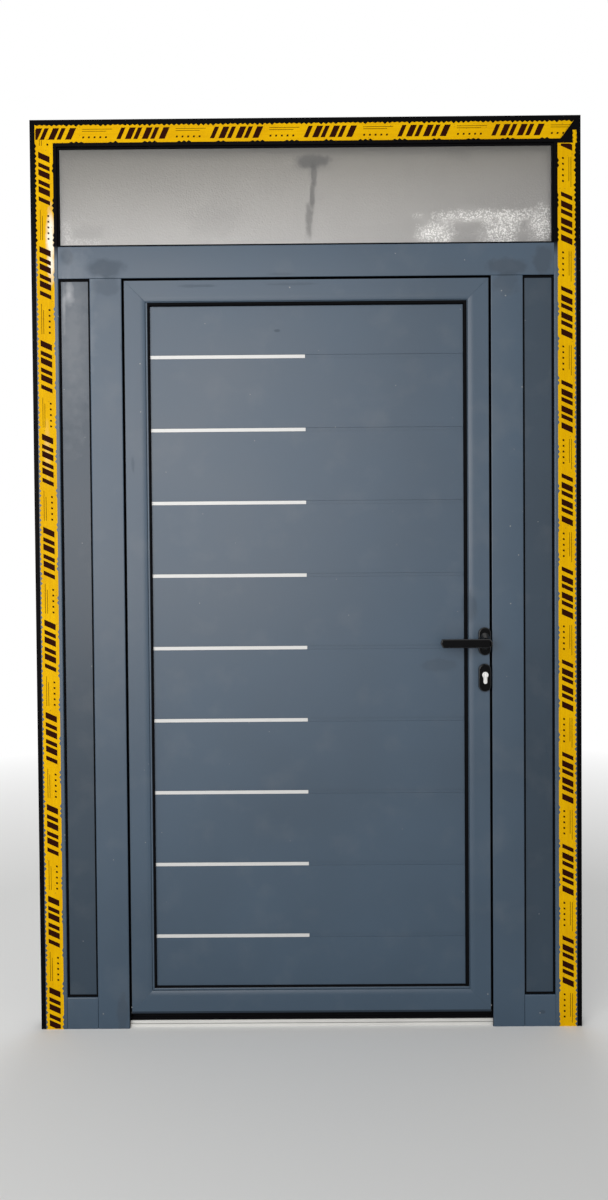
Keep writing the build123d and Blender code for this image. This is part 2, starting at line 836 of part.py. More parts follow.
def neck_plane(y):
    """The plane across a lever's neck at one depth, centred on the spindle."""
    return Plane(origin=(lock_x, y, spindle_height), x_dir=(1, 0, 0), z_dir=(0, -1, 0))


def spindle_end(way):
    """Where the spindle ends inside a lever."""
    return way * (system_depth / 2 + rosette_depth + lever_stand)


def oval_plates(z_middle, hole):
    """The two bevelled oval plates at one height, one on each face of the leaf, with a hole."""
    pieces = []
    for way in (-1, 1):
        y_wall = way * system_depth / 2
        oval = Pos(lock_x, z_middle) * SlotOverall(rosette_height, rosette_width, 90)
        body = plate(oval, *sorted([y_wall, y_wall + way * rosette_depth]))
        rim = body.faces().sort_by(Axis.Y)[0 if way < 0 else -1]
        pieces.append(chamfer(rim.edges(), rosette_edge) - plate(hole, -far, far))
    return solids(*pieces)


def rosettes():
    """The oval plates behind the levers, each with a bearing for the lever's neck."""
    bearing = Pos(lock_x, spindle_height) * Circle(neck_radius + running_clearance)
    return oval_plates(spindle_height, bearing)


def escutcheons():
    """The oval plates round the profile cylinder."""
    return oval_plates(cylinder_z + cylinder_radius - cylinder_height / 2, euro_profile(hole_clearance))


def cylinder_limits():
    """How far the profile cylinder reaches out and in."""
    return y_out - cylinder_stand, y_in + cylinder_stand


def cylinder_body():
    """The profile cylinder's housing, bored for the plugs and slotted for the cam."""
    y_low, y_high = cylinder_limits()
    body = plate(euro_profile(0), y_low, y_high)
    body -= round_hole(lock_x, cylinder_z, plug_radius + running_clearance, -far, far)
    half = cam_depth / 2 + cam_clearance
    body -= round_hole(lock_x, cylinder_z, cam_radius + cam_clearance, lock_y - half, lock_y + half)
    return solids(body)


def cylinder_plugs():
    """The two plugs, joined through the cam's middle, each with a keyway."""
    y_low, y_high = cylinder_limits()
    front = y_low - plug_stand
    back = y_high + plug_stand
    plug = round_hole(lock_x, cylinder_z, plug_radius, front, back)
    keyway = Pos(lock_x, cylinder_z) * Rectangle(keyway_width, keyway_height)
    plug -= plate(keyway, front - cut_margin, front + keyway_depth)
    plug -= plate(keyway, back - keyway_depth, back + cut_margin)
    return solids(plug)


def cylinder_cam():
    """The cam that throws the deadbolt."""
    outline = Pos(lock_x, cylinder_z) * Circle(cylinder_radius)
    arm = rect(lock_x - cam_width / 2, lock_x + cam_width / 2, cylinder_z - cam_radius, cylinder_z)
    outline += arm & Pos(lock_x, cylinder_z) * Circle(cam_radius)
    outline -= Pos(lock_x, cylinder_z) * Circle(plug_radius)
    return solids(plate(outline, lock_y - cam_depth / 2, lock_y + cam_depth / 2))


# Hinges
def wing_outline(side):
    """The section of a hinge wing with its knuckle. side is -1 for the frame and 1 for the leaf."""
    near = hinge_x + side * wing_gap
    end = near + side * wing_width
    knuckle_edge = hinge_x + side * knuckle_radius
    web = make_face(Polyline(
        (near, y_in), (end, y_in), (end, y_in + wing_plate), (knuckle_edge, y_in + wing_plate),
        (knuckle_edge, hinge_y), (hinge_x, hinge_y), close=True,
    ))
    return web + Pos(hinge_x, hinge_y) * Circle(knuckle_radius)


def hinge_wing(z_middle, side):
    """A hinge wing. The frame's has two knuckles and the leaf's one between them."""
    knuckle = Pos(hinge_x, hinge_y) * Circle(knuckle_radius + knuckle_gap)
    own = upright(wing_outline(side), z_middle - hinge_height / 2, z_middle + hinge_height / 2)
    half = middle_knuckle / 2
    clear = knuckle + rect(hinge_x - knuckle_radius - knuckle_gap, hinge_x + knuckle_radius + knuckle_gap,
                           y_in + wing_plate, hinge_y + knuckle_radius + knuckle_gap)
    if side < 0:
        own -= upright(clear, z_middle - half - knuckle_gap, z_middle + half + knuckle_gap)
    else:
        own -= upright(clear, z_middle - hinge_height, z_middle - half)
        own -= upright(clear, z_middle + half, z_middle + hinge_height)
    bore = hinge_pin_radius + (running_clearance if side > 0 else 0)
    own -= upright(Pos(hinge_x, hinge_y) * Circle(bore), z_middle - hinge_height, z_middle + hinge_height)
    back = y_in + wing_plate + cut_margin
    for z in hinge_screw_places(z_middle):
        own -= round_hole(wing_screw_x(side), z, screw_room, y_in - cut_margin, back)
    return solids(own)


def wing_screw_holes(side):
    """The holes in the shell behind all wings on the frame or on the leaf."""
    holes = [
        round_hole(wing_screw_x(side), z, screw_room, y_in - 2 * wall, y_in + wall)
        for middle in hinge_levels() for z in hinge_screw_places(middle)
    ]
    return Part() + holes


def hinge_pins():
    """The hinge pins, each with a cap on both ends."""
    pieces = []
    for z_middle in hinge_levels():
        low = z_middle - hinge_height / 2
        high = z_middle + hinge_height / 2
        centre = Pos(hinge_x, hinge_y)
        pin = upright(centre * Circle(hinge_pin_radius), low, high)
        for start in (low - pin_cap, high):
            pin += upright(centre * Circle(knuckle_radius), start, start + pin_cap)
        pieces.append(pin)
    return solids(*pieces)


def hinge_screws(side):
    """The screws of all wings on the frame or on the leaf."""
    return solids(*[
        screw(wing_screw_x(side), z, y_in + wing_plate, -1)
        for middle in hinge_levels() for z in hinge_screw_places(middle)
    ])


# Door stop, seals and threshold
def surround_section(u_low, u_high, y_low, y_high, thickness):
    """The section of a bar round the door, hollow where it has a wall thickness."""
    if thickness:
        return tube(u_low, u_high, y_low, y_high, thickness)
    return rect(u_low, u_high, y_low, y_high)


def door_surround(u_low, u_high, y_low, y_high, thickness, z_low):
    """Three mitred bars round the top and sides of the door, measured outwards from the leaf."""
    x_outer = half_leaf + u_high
    z_outer = leaf_top + u_high
    deep = u_high - u_low
    form = (y_low, y_high, thickness)
    bars = []
    for side in (-1, 1):
        limits = sorted([side * x_outer, side * (x_outer - deep)])
        cut = elevation([
            (side * x_outer, z_low), (side * x_outer, z_outer),
            (side * (x_outer - deep), z_outer - deep), (side * (x_outer - deep), z_low),
        ])
        bars.append(upright(surround_section(*limits, *form), z_low, z_outer) & cut)
    x_inner = x_outer - deep
    z_inner = z_outer - deep
    cut = elevation([(-x_outer, z_outer), (x_outer, z_outer), (x_inner, z_inner), (-x_inner, z_inner)])
    bars.append(level(surround_section(z_inner, z_outer, *form), -x_outer, x_outer) & cut)
    return bars


def door_stops():
    """The hollow stop profiles behind the legs of the transom and the mullions."""
    bars = door_surround(door_gap, door_gap + leg, y_leg_back, y_stop_back, bead_wall, threshold_height)
    return solids(*bars)


def door_seal():
    """The rubber seal on the stops that the leaf's plastic nose closes on."""
    start = door_gap + (leg - seal_width) / 2
    end = y_inner_front - break_nose_reach - seal_clearance
    bars = door_surround(start, start + seal_width, y_stop_back, end, 0, threshold_height)
    return solids(bars[0] + bars[1] + bars[2])


def threshold():
    """The low stepped sill, in an outer part with tread grooves and an inner part."""
    front = y_out + threshold_setback
    third = threshold_height / 3
    outline = make_face(Polyline(
        (0, front), (third, front), (third, front + threshold_step), (2 * third, front + threshold_step),
        (2 * third, front + 2 * threshold_step), (threshold_height, front + 2 * threshold_step),
        (threshold_height, threshold_break_place), (0, threshold_break_place), close=True,
    ))
    tread_start = front + 2 * threshold_step
    outline -= rect(wall, threshold_height - wall, tread_start + wall, threshold_break_place - wall)
    middle = (tread_start + threshold_break_place) / 2
    for index in range(tread_ribs):
        y = middle + (index - (tread_ribs - 1) / 2) * tread_pitch
        top = threshold_height + cut_margin
        outline -= rect(threshold_height - tread_depth, top, y - tread_groove / 2, y + tread_groove / 2)
    back = tube(0, threshold_height, threshold_break_place + threshold_break, y_in, wall)
    return solids(level(outline, -x_body_door, x_body_door), level(back, -x_body_door, x_body_door))


def threshold_strip():
    """The plastic part between the threshold's two halves."""
    section = rect(0, threshold_height, threshold_break_place, threshold_break_place + threshold_break)
    return solids(level(section, -x_body_door, x_body_door))


def seal_carrier():
    """The black channel under the leaf's bottom rail."""
    depth = (y_out + carrier_setback, y_in - carrier_setback)
    return solids(level(rect(leaf_bottom - carrier_height, leaf_bottom, *depth), -half_leaf, half_leaf))


def bottom_seal():
    """The two rubber lips that brush the threshold."""
    low = threshold_height + seal_clearance
    high = leaf_bottom - carrier_height
    front = y_out + threshold_setback + 2 * threshold_step + seal_clearance
    back = y_in - lip_inset
    return solids(*[
        level(rect(low, high, y, y + lip_width), -half_leaf, half_leaf) for y in (front, back)
    ])


# Protective tape on the outer faces
def side_tape(side):
    """The film down one jamb. The right one is torn to a narrow strip at its top."""
    limits = sorted([side * (half_width - tape_inset), side * (half_width - tape_inset - tape_width)])
    top = frame_height - tape_inset - tape_width
    outline = rect(*limits, 0, top)
    if side > 0:
        x_strip = half_width - tape_strip_inset
        z_torn = frame_height - tape_strip_low
        outline = rect(*limits, 0, z_torn)
        outline += rect(x_strip - tape_strip_width, x_strip, z_torn - tape_strip_width,
                        frame_height - tape_strip_high)
    return solids(plate(outline, y_out - tape_thickness, y_out))


def head_tape():
    """The film along the head, cut at a slant at its right end."""
    top = frame_height - tape_inset
    low = top - tape_width
    left = -half_width + tape_inset
    right = half_width - tape_end_inset
    corners = [(left, low), (left, top), (right, top), (right - tape_slant, low)]
    return solids(plate(make_face(Polyline(*corners, close=True)), y_out - tape_thickness, y_out))


def build():
    """All nodes, as lists of solids by name."""
    leaf_place = [-x_leaf_floor, x_leaf_floor, z_leaf_floor, z_leaf_ceiling]
    light, left_place, right_place = infill_places()
    places = [light, left_place, right_place]
    bars = {
        "left_jamb": jamb(-1), "right_jamb": jamb(1), "frame_head": head(), "transom": transom(),
        "left_mullion": mullion(-1), "right_mullion": mullion(1),
        "left_sill_rail": sill_rail(-1), "right_sill_rail": sill_rail(1),
    }
    nodes = {name: shells for name, (shells, _) in bars.items()}
    nodes["frame_thermal_breaks"] = [s for _, strips in bars.values() for s in strips] + threshold_strip()
    nodes["frame_connectors"] = frame_connectors()

    glass = inset_rect(light, edge_clearance)
    nodes["transom_outer_pane"] = solids(panel(*glass, y_infill, y_infill + pane))
    nodes["transom_inner_pane"] = solids(panel(*glass, y_infill_back - pane, y_infill_back))
    rim = inset_rect(glass, spacer_inset)
    nodes["transom_spacer"] = solids(ring(*rim, spacer_width, y_infill + pane, y_infill_back - pane))
    cores = []
    for name, place in (("left_side_panel", left_place), ("right_side_panel", right_place)):
        sheet = inset_rect(place, edge_clearance)
        nodes[name] = solids(panel(*sheet, y_infill, y_infill + skin),
                             panel(*sheet, y_infill_back - skin, y_infill_back))
        cores += solids(panel(*sheet, y_infill + skin, y_infill_back - skin))
    nodes["side_panel_cores"] = cores
    nodes["frame_glazing_beads"] = [bar for place in places for bar in bead_bars(place)]
    nodes["frame_outer_gaskets"] = solids(*[outer_gasket_ring(place) for place in places])
    nodes["frame_inner_gaskets"] = solids(*[inner_gasket_ring(place) for place in places])
    nodes["frame_setting_blocks"] = [block for place in places for block in setting_blocks(place)]
    nodes["door_stops"] = door_stops()
    nodes["door_seal"] = door_seal()
    nodes["threshold"] = threshold()
    nodes["left_tape"] = side_tape(-1)
    nodes["right_tape"] = side_tape(1)
    nodes["head_tape"] = head_tape()
    nodes["strike_plate"] = strike()

    left_outer, left_inner, left_strips = stile(-1)
    right_outer, right_inner, right_strips = stile(1)
    top_outer, top_inner, top_strips = rail("top")
    low_outer, low_inner, low_strips = rail("bottom")
    cuts = lock_cuts()
    nodes["hinge_stile"] = solids(left_outer, left_inner - wing_screw_holes(1))
    nodes["lock_stile"] = solids(right_outer - cuts, right_inner - cuts)
    nodes["leaf_top_rail"] = solids(top_outer, top_inner)
    nodes["leaf_bottom_rail"] = solids(low_outer, low_inner)
    nodes["leaf_thermal_breaks"] = solids(left_strips, right_strips - cuts, top_strips, low_strips)
    nodes["leaf_corner_cleats"] = leaf_cleats()

    nodes["panel_outer_skin"] = leaf_face_skin()
    sheet = inset_rect(leaf_place, edge_clearance)
    nodes["panel_core"] = solids(panel(*sheet, y_infill + face_skin, y_infill_back - skin))
    nodes["panel_inner_skin"] = solids(panel(*sheet, y_infill_back - skin, y_infill_back))
    nodes["inlay_strips"] = inlay_strips()
    nodes["leaf_glazing_beads"] = bead_bars(leaf_place)
    nodes["leaf_outer_gasket"] = solids(outer_gasket_ring(leaf_place))
    nodes["leaf_inner_gasket"] = solids(inner_gasket_ring(leaf_place))
    nodes["leaf_setting_blocks"] = setting_blocks(leaf_place)
    nodes["seal_carrier"] = seal_carrier()
    nodes["bottom_seal"] = bottom_seal()

    nodes["lock_case"] = lock_case()
    nodes["lock_faceplate"] = lock_faceplate()
    nodes["latch_bolt"] = latch_bolt()
    nodes["deadbolt"] = deadbolt()
    nodes["lock_follower"] = follower()
    nodes["cylinder_body"] = cylinder_body()
    nodes["cylinder_plugs"] = cylinder_plugs() + cylinder_cam()
    nodes["lever_rosettes"] = rosettes()
    nodes["key_escutcheons"] = escutcheons()
    nodes["outer_lever"] = lever(-1)
    nodes["inner_lever"] = lever(1)
    shaft = Pos(lock_x, spindle_height) * Rectangle(spindle_side, spindle_side)
    nodes["spindle"] = solids(plate(shaft, spindle_end(-1), spindle_end(1)))

    nodes["hinge_frame_wings"] = [wing for middle in hinge_levels() for wing in hinge_wing(middle, -1)]
    nodes["hinge_leaf_wings"] = [wing for middle in hinge_levels() for wing in hinge_wing(middle, 1)]
    nodes["hinge_pins"] = hinge_pins()
    strike_face = x_body_door - strike_plate
    strike_screws = [countersink(strike_face, lock_y, z, 1, 0) for z in strike_screw_levels()]
    nodes["frame_screws"] = hinge_screws(-1) + solids(*strike_screws)
    face_screws = [countersink(x_flange, lock_y, z, -1, 0) for z in faceplate_screw_levels()]
    nodes["leaf_screws"] = hinge_screws(1) + solids(*face_screws)
    return nodes


os.makedirs("parts", exist_ok=True)
for name, pieces in build().items():
    export_step(Compound(children=pieces) if len(pieces) > 1 else pieces[0], f"parts/{name}.step")
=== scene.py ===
import logging
import math
import random
from contextlib import contextmanager
from dataclasses import dataclass
from enum import Enum
from typing import Callable, Iterator, Mapping, Sequence

import bmesh
import bpy
from mathutils import Matrix, Vector


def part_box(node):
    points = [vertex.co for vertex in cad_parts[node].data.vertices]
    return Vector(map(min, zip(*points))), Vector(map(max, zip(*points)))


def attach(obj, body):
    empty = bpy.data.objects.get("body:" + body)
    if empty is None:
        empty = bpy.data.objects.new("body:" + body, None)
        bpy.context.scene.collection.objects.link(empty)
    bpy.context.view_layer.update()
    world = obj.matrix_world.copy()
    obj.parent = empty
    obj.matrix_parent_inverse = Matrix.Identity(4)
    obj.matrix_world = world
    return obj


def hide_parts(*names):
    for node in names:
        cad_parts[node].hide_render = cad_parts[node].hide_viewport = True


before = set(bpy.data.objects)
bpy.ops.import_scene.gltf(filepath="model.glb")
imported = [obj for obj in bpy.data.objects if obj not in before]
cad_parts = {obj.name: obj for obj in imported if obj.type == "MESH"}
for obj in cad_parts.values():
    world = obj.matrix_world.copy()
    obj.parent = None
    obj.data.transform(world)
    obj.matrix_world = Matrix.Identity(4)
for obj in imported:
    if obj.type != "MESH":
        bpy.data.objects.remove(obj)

LOG = logging.getLogger("entrance_door")
MM = 0.001

# Points closer than MERGE are one, and faces that meet at less than FLAT_ANGLE are one plane
MERGE = 0.002 * MM
FLAT_ANGLE = math.radians(0.5)
SHARP_ANGLE = math.radians(28)

# Shares of a face's normal: across a bar's end, inwards, and on a rounding
END_FACE = 0.3
FACES_IN = 0.9
ROUND_LOW = 0.12
ROUND_HIGH = 0.97

ORIGIN = (0.0, 0.0, 0.0)
WHITE = (1.0, 1.0, 1.0, 1.0)
Colour = tuple[float, float, float, float]
Point = tuple[float, float, float]
Piece = bpy.types.Object
Node = bpy.types.Node
Socket = bpy.types.NodeSocket


class Body(Enum):
    """The bodies that the pieces ride on."""

    FRAME = "frame"
    LEAF = "leaf"
    HANDLE = "handle"


class Slot(Enum):
    """The record's material slots."""

    COAT = "anthracite"
    BREAK = "break_plastic"
    MILL = "mill_aluminium"
    GLASS = "glass"
    SPACER = "spacer_metal"
    FOAM = "foam"
    RUBBER = "rubber"
    FILM = "tape_film"
    STEEL = "bright_steel"
    BLACK = "black_metal"
    NICKEL = "nickel"


class Run(Enum):
    """The way that a metal's grain runs, as the grain's cells per metre along X, Y and Z."""

    ALONG_X = (6.0, 2600.0, 2600.0)
    ALONG_Z = (2600.0, 2600.0, 6.0)


class Bench:
    """The hand operations that the pieces are made with."""

    @staticmethod
    def take(*pieces: Piece) -> None:
        """Selects these pieces alone and makes the first one active."""
        bpy.ops.object.select_all(action="DESELECT")
        for piece in pieces:
            piece.select_set(True)
        bpy.context.view_layer.objects.active = pieces[0]

    @staticmethod
    @contextmanager
    def editing(piece: Piece, whole: bool = False) -> Iterator[bmesh.types.BMesh]:
        """Opens a piece in edit mode.

        Args:
            piece: the mesh to work on.
            whole: whether all of it starts selected, or nothing.

        Returns:
            The open mesh.
        """
        Bench.take(piece)
        bpy.ops.object.mode_set(mode="EDIT")
        bpy.ops.mesh.select_mode(type="FACE")
        bpy.ops.mesh.select_all(action="SELECT" if whole else "DESELECT")
        yield bmesh.from_edit_mesh(piece.data)
        bmesh.update_edit_mesh(piece.data)
        bpy.ops.object.mode_set(mode="OBJECT")

    @staticmethod
    def pick_faces(mesh: bmesh.types.BMesh, wanted: Callable[[bmesh.types.BMFace], bool]) -> None:
        """Selects the faces that pass the test, and nothing else."""
        for face in mesh.faces:
            face.select_set(False)
        for face in mesh.faces:
            if wanted(face):
                face.select_set(True)

    @staticmethod
    def slit(piece: Piece, point: Point | Vector, way: Point | Vector, trim: bool = True) -> None:
        """Cuts a piece at a plane, and takes off and closes its outer side where it is to be trimmed."""
        with Bench.editing(piece, whole=True):
            bpy.ops.mesh.bisect(plane_co=point, plane_no=way, use_fill=trim, clear_outer=trim)

    @staticmethod
    def settle(piece: Piece) -> Piece:
        """Moves a piece's place into its mesh, so that its object sits at the origin."""
        Bench.take(piece)
        bpy.ops.object.transform_apply(location=True, rotation=True, scale=True)
        return piece

    @staticmethod
    def block(name: str, low: Vector, high: Vector) -> Piece:
        """Adds a block between two corners.

        Args:
            name: the piece's name.
            low: its lowest corner.
            high: its highest corner.

        Returns:
            The new piece, at the origin.
        """
        bpy.ops.object.select_all(action="DESELECT")
        bpy.ops.mesh.primitive_cube_add(size=1, location=(low + high) / 2, scale=high - low)
        piece = bpy.context.active_object
        piece.name = name
        return Bench.settle(piece)

    @staticmethod
    def rod(name: str, start: Vector, end: Vector, radius: float, sides: int) -> Piece:
        """Adds a round rod between two points.

        Args:
            name: the piece's name.
            start: the middle of its first end.
            end: the middle of its other end.
            radius: its radius.
            sides: how many flats its round has.

        Returns:
            The new piece, at the origin.
        """
        way = end - start
        bpy.ops.object.select_all(action="DESELECT")
        bpy.ops.mesh.primitive_cylinder_add(vertices=sides, radius=radius, depth=way.length)
        piece = bpy.context.active_object
        piece.name = name
        turn = way.to_track_quat("Z", "Y").to_matrix().to_4x4()
        piece.matrix_world = Matrix.Translation((start + end) / 2) @ turn
        return Bench.settle(piece)

    @staticmethod
    def apply(piece: Piece, kind: str, **settings: object) -> None:
        """Adds a modifier with these settings and applies it."""
        Bench.take(piece)
        modifier = piece.modifiers.new(kind.title(), kind)
        for name, value in settings.items():
            setattr(modifier, name, value)
        bpy.ops.object.modifier_apply(modifier=modifier.name)

    @staticmethod
    def cut(piece: Piece, cutter: Piece) -> None:
        """Takes the cutter's form out of a piece and removes the cutter."""
        Bench.apply(piece, "BOOLEAN", operation="DIFFERENCE", object=cutter, solver="EXACT")
        bpy.data.objects.remove(cutter)

    @staticmethod
    def join(pieces: Sequence[Piece], name: str) -> Piece:
        """Joins several meshes into the first of them and names it."""
        Bench.take(*pieces)
        if len(pieces) > 1:
            bpy.ops.object.join()
        pieces[0].name = name
        return pieces[0]

    @staticmethod
    def twin(piece: Piece, name: str) -> Piece:
        """A copy of a piece with a mesh of its own."""
        copy = bpy.data.objects.new(name, piece.data.copy())
        bpy.context.scene.collection.objects.link(copy)
        return copy

    @staticmethod
    def merged_copy(node: str, name: str) -> Piece:
        """A copy of a CAD node with its loose triangles merged into plain faces.

        Args:
            node: the CAD node.
            name: the new piece's name.

        Returns:
            The copy, flat shaded and with no material.
        """
        piece = Bench.twin(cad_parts[node], name)
        piece.data.materials.clear()
        with Bench.editing(piece, whole=True):
            bpy.ops.mesh.customdata_custom_splitnormals_clear()
            bpy.ops.mesh.remove_doubles(threshold=MERGE)
            bpy.ops.mesh.dissolve_limited(angle_limit=FLAT_ANGLE)
        return piece

    @staticmethod
    def round_edges(piece: Piece, radius: float, end_share: float) -> None:
        """Rounds a piece's sharp edges, and those of its cut ends by a share of that.

        Args:
            piece: the mesh, with plain faces.
            radius: the rounding's width.
            end_share: the share of it on the faces across the piece's length.
        """
        size = piece.dimensions
        length_axis = max(range(3), key=lambda axis: size[axis])
        mesh = bmesh.new()
        mesh.from_mesh(piece.data)
        weights = []
        for edge in mesh.edges:
            sharp = len(edge.link_faces) == 2 and edge.calc_face_angle() > SHARP_ANGLE
            at_end = any(abs(face.normal[length_axis]) > END_FACE for face in edge.link_faces)
            weights.append((end_share if at_end else 1.0) if sharp else 0.0)
        mesh.free()
        layer = piece.data.attributes.new("bevel_weight_edge", "FLOAT", "EDGE")
        layer.data.foreach_set("value", weights)
        Bench.take(piece)
        bpy.ops.object.shade_smooth()
        Bench.apply(piece, "BEVEL", width=radius, segments=2, limit_method="WEIGHT",
                    use_clamp_overlap=False, harden_normals=True)


class Sheet:
    """Draws a node tree, one node and one wire at a time."""

    def __init__(self, tree: bpy.types.NodeTree) -> None:
        """Starts on an empty tree."""
        self.tree = tree
        tree.nodes.clear()

    def add(self, kind: str, **settings: object) -> Node:
        """Adds a node.

        Args:
            kind: the node's type, without its ShaderNode prefix.
            settings: its properties, and its inputs' values by name with _ for a space.

        Returns:
            The node.
        """
        node = self.tree.nodes.new(kind if kind.startswith("Node") else "ShaderNode" + kind)
        for name, value in settings.items():
            if hasattr(node, name):
                setattr(node, name, value)
            else:
                self.feed(node, name.replace("_", " "), value)
        return node

    def feed(self, node: Node, socket: str | int, value: object) -> None:
        """Sets an input to a plain value, or wires an output to it."""
        target = node.inputs[socket]
        if isinstance(value, Socket):
            self.tree.links.new(value, target)
        else:
            target.default_value = value

    def number(self, operation: str, first: object, second: object = 0.0) -> Socket:
        """The result of one sum on two values."""
        node = self.add("Math", operation=operation)
        self.feed(node, 0, first)
        self.feed(node, 1, second)
        return node.outputs[0]

    def times(self, first: object, second: object) -> Socket:
        """The product of two values."""
        return self.number("MULTIPLY", first, second)

    def vector(self, operation: str, first: object, second: object = None) -> Socket:
        """The result of one sum on two vectors, or the length of one."""
        node = self.add("VectorMath", operation=operation)
        self.feed(node, 0, first)
        if second is not None:
            self.feed(node, 1, second)
        return node.outputs["Value" if operation == "LENGTH" else "Vector"]

    def span(self, value: object, low: float, high: float, start: float, end: float) -> Socket:
        """A value carried over from one range to another, and held inside it."""
        node = self.add("MapRange")
        for index, given in enumerate((value, low, high, start, end)):
            self.feed(node, index, given)
        return node.outputs[0]

    def blend(self, share: object, low: object, high: object) -> Socket:
        """A mix of two colours."""
        node = self.add("Mix", data_type="RGBA")
        self.feed(node, 0, share)
        self.feed(node, 6, low)
        self.feed(node, 7, high)
        return node.outputs[2]

    def place(self) -> Socket:
        """The object's own coordinates."""
        return self.add("TexCoord").outputs["Object"]

    def stamp(self, group: "Effect", **inputs: object) -> Socket:
        """The output of a shared group that is placed with its own values."""
        node = self.add("Group", node_tree=group.tree())
        for name, value in inputs.items():
            self.feed(node, name, value)
        return node.outputs[0]


class Effect(Enum):
    """The effects that several finishes share, each a node group that is built once."""

    TOOTH = "surface_tooth"
    SMUDGE = "smudge"
    GRAIN = "drawn_grain"
    SPECKS = "dust_specks"
    CLOUD = "slow_change"

    def tree(self) -> bpy.types.NodeTree:
        """The group's tree, drawn at its first use."""
        known = bpy.data.node_groups.get(self.value)
        if known is not None:
            return known
        tree = bpy.data.node_groups.new(self.value, "ShaderNodeTree")
        draw = {
            Effect.TOOTH: self._tooth, Effect.SMUDGE: self._smudge, Effect.GRAIN: self._grain,
            Effect.SPECKS: self._specks, Effect.CLOUD: self._cloud,
        }[self]
        draw(tree)
        return tree

    @staticmethod
    def _sockets(tree: bpy.types.NodeTree, inputs: dict[str, object],
                 output: str) -> tuple[Sheet, Mapping[str, Socket]]:
        """Gives a group its inputs and its one output.

        Args:
            tree: the group's tree.
            inputs: each input's name, with its starting value: a vector or a number.
            output: the output's name.

        Returns:
            The sheet, and the sockets that the inputs come from, by name.
        """
        for name, value in inputs.items():
            kind = "NodeSocketVector" if isinstance(value, tuple) else "NodeSocketFloat"
            socket = tree.interface.new_socket(name, in_out="INPUT", socket_type=kind)
            socket.default_value = value
        tree.interface.new_socket(output, in_out="OUTPUT", socket_type="NodeSocketFloat")
        sheet = Sheet(tree)
        return sheet, sheet.add("NodeGroupInput").outputs

    @staticmethod
    def _finish(sheet: Sheet, output: str, value: Socket) -> None:
        """Wires the group's output."""
        end = sheet.add("NodeGroupOutput")
        sheet.feed(end, output, value)

    @staticmethod
    def _tooth(tree: bpy.types.NodeTree) -> None:
        """The fine skin of a sprayed or moulded surface: small cells over slower waves."""
        sheet, given = Effect._sockets(tree, {"Vector": ORIGIN, "Cells": 900.0, "Waves": 60.0}, "Height")
        fine = sheet.add("TexNoise", Vector=given["Vector"], Scale=given["Cells"], Detail=2.0)
        slow = sheet.add("TexNoise", Vector=given["Vector"], Scale=given["Waves"], Detail=1.0)
        rough = sheet.times(fine.outputs["Fac"], 0.4)
        Effect._finish(sheet, "Height", sheet.number("ADD", rough, slow.outputs["Fac"]))

    @staticmethod
    def _smudge(tree: bpy.types.NodeTree) -> None:
        """A soft uneven patch at a place, with its reach along each axis."""
        inputs = {
            "Vector": ORIGIN, "Middle": ORIGIN, "Reach": (1.0, 1.0, 1.0), "Unevenness": 0.5,
            "Edge": 0.35,
        }
        sheet, given = Effect._sockets(tree, inputs, "Mask")
        noise = sheet.add("TexNoise", Vector=given["Vector"], Scale=35.0, Detail=3.0)
        offset = sheet.vector("SUBTRACT", given["Vector"], given["Middle"])
        far = sheet.vector("LENGTH", sheet.vector("DIVIDE", offset, given["Reach"]))
        shift = sheet.times(sheet.number("SUBTRACT", noise.outputs["Fac"], 0.5), given["Unevenness"])
        reach = sheet.number("ADD", far, sheet.times(shift, 2.0))
        inside = sheet.number("SUBTRACT", 1.0, reach)
        mask = sheet.add("Math", operation="DIVIDE", use_clamp=True)
        sheet.feed(mask, 0, inside)
        sheet.feed(mask, 1, given["Edge"])
        Effect._finish(sheet, "Mask", mask.outputs[0])

    @staticmethod
    def _grain(tree: bpy.types.NodeTree) -> None:
        """Long drawn lines, as on brushed or extruded metal."""
        sheet, given = Effect._sockets(tree, {"Vector": ORIGIN, "Stretch": (6.0, 900.0, 900.0)}, "Lines")
        drawn = sheet.vector("MULTIPLY", given["Vector"], given["Stretch"])
        lines = sheet.add("TexNoise", Vector=drawn, Scale=1.0, Detail=4.0, Roughness=0.7)
        Effect._finish(sheet, "Lines", lines.outputs["Fac"])

    @staticmethod
    def _specks(tree: bpy.types.NodeTree) -> None:
        """Sparse small specks of dust, from the cells whose colour is above a level."""
        inputs = {"Vector": ORIGIN, "Cells": 120.0, "Share": 0.06, "Size": 0.22}
        sheet, given = Effect._sockets(tree, inputs, "Mask")
        cells = sheet.add("TexVoronoi", Vector=given["Vector"], Scale=given["Cells"])
        split = sheet.add("SeparateColor", Color=cells.outputs["Color"])
        kept = sheet.number("LESS_THAN", split.outputs["Red"], given["Share"])
        size = sheet.times(split.outputs["Green"], given["Size"])
        near = sheet.number("LESS_THAN", cells.outputs["Distance"], size)
        Effect._finish(sheet, "Mask", sheet.times(kept, near))

    @staticmethod
    def _cloud(tree: bpy.types.NodeTree) -> None:
        """A slow uneven change over the whole surface."""
        inputs = {"Vector": ORIGIN, "Scale": 3.0, "Low": 0.35, "High": 0.65}
        sheet, given = Effect._sockets(tree, inputs, "Value")
        vector, scale = given["Vector"], given["Scale"]
        noise = sheet.add("TexNoise", Vector=vector, Scale=scale, Detail=4.0)
        carried = sheet.add("MapRange")
        for index, value in enumerate((noise.outputs["Fac"], given["Low"], given["High"])):
            sheet.feed(carried, index, value)
        Effect._finish(sheet, "Value", carried.outputs[0])


@dataclass(frozen=True)
class Mark:
    """A smudge: its middle and its reach in X and Z in millimetres, and how strong it is."""

    x: float
    z: float
    reach_x: float
    reach_z: float
    strength: float = 0.5


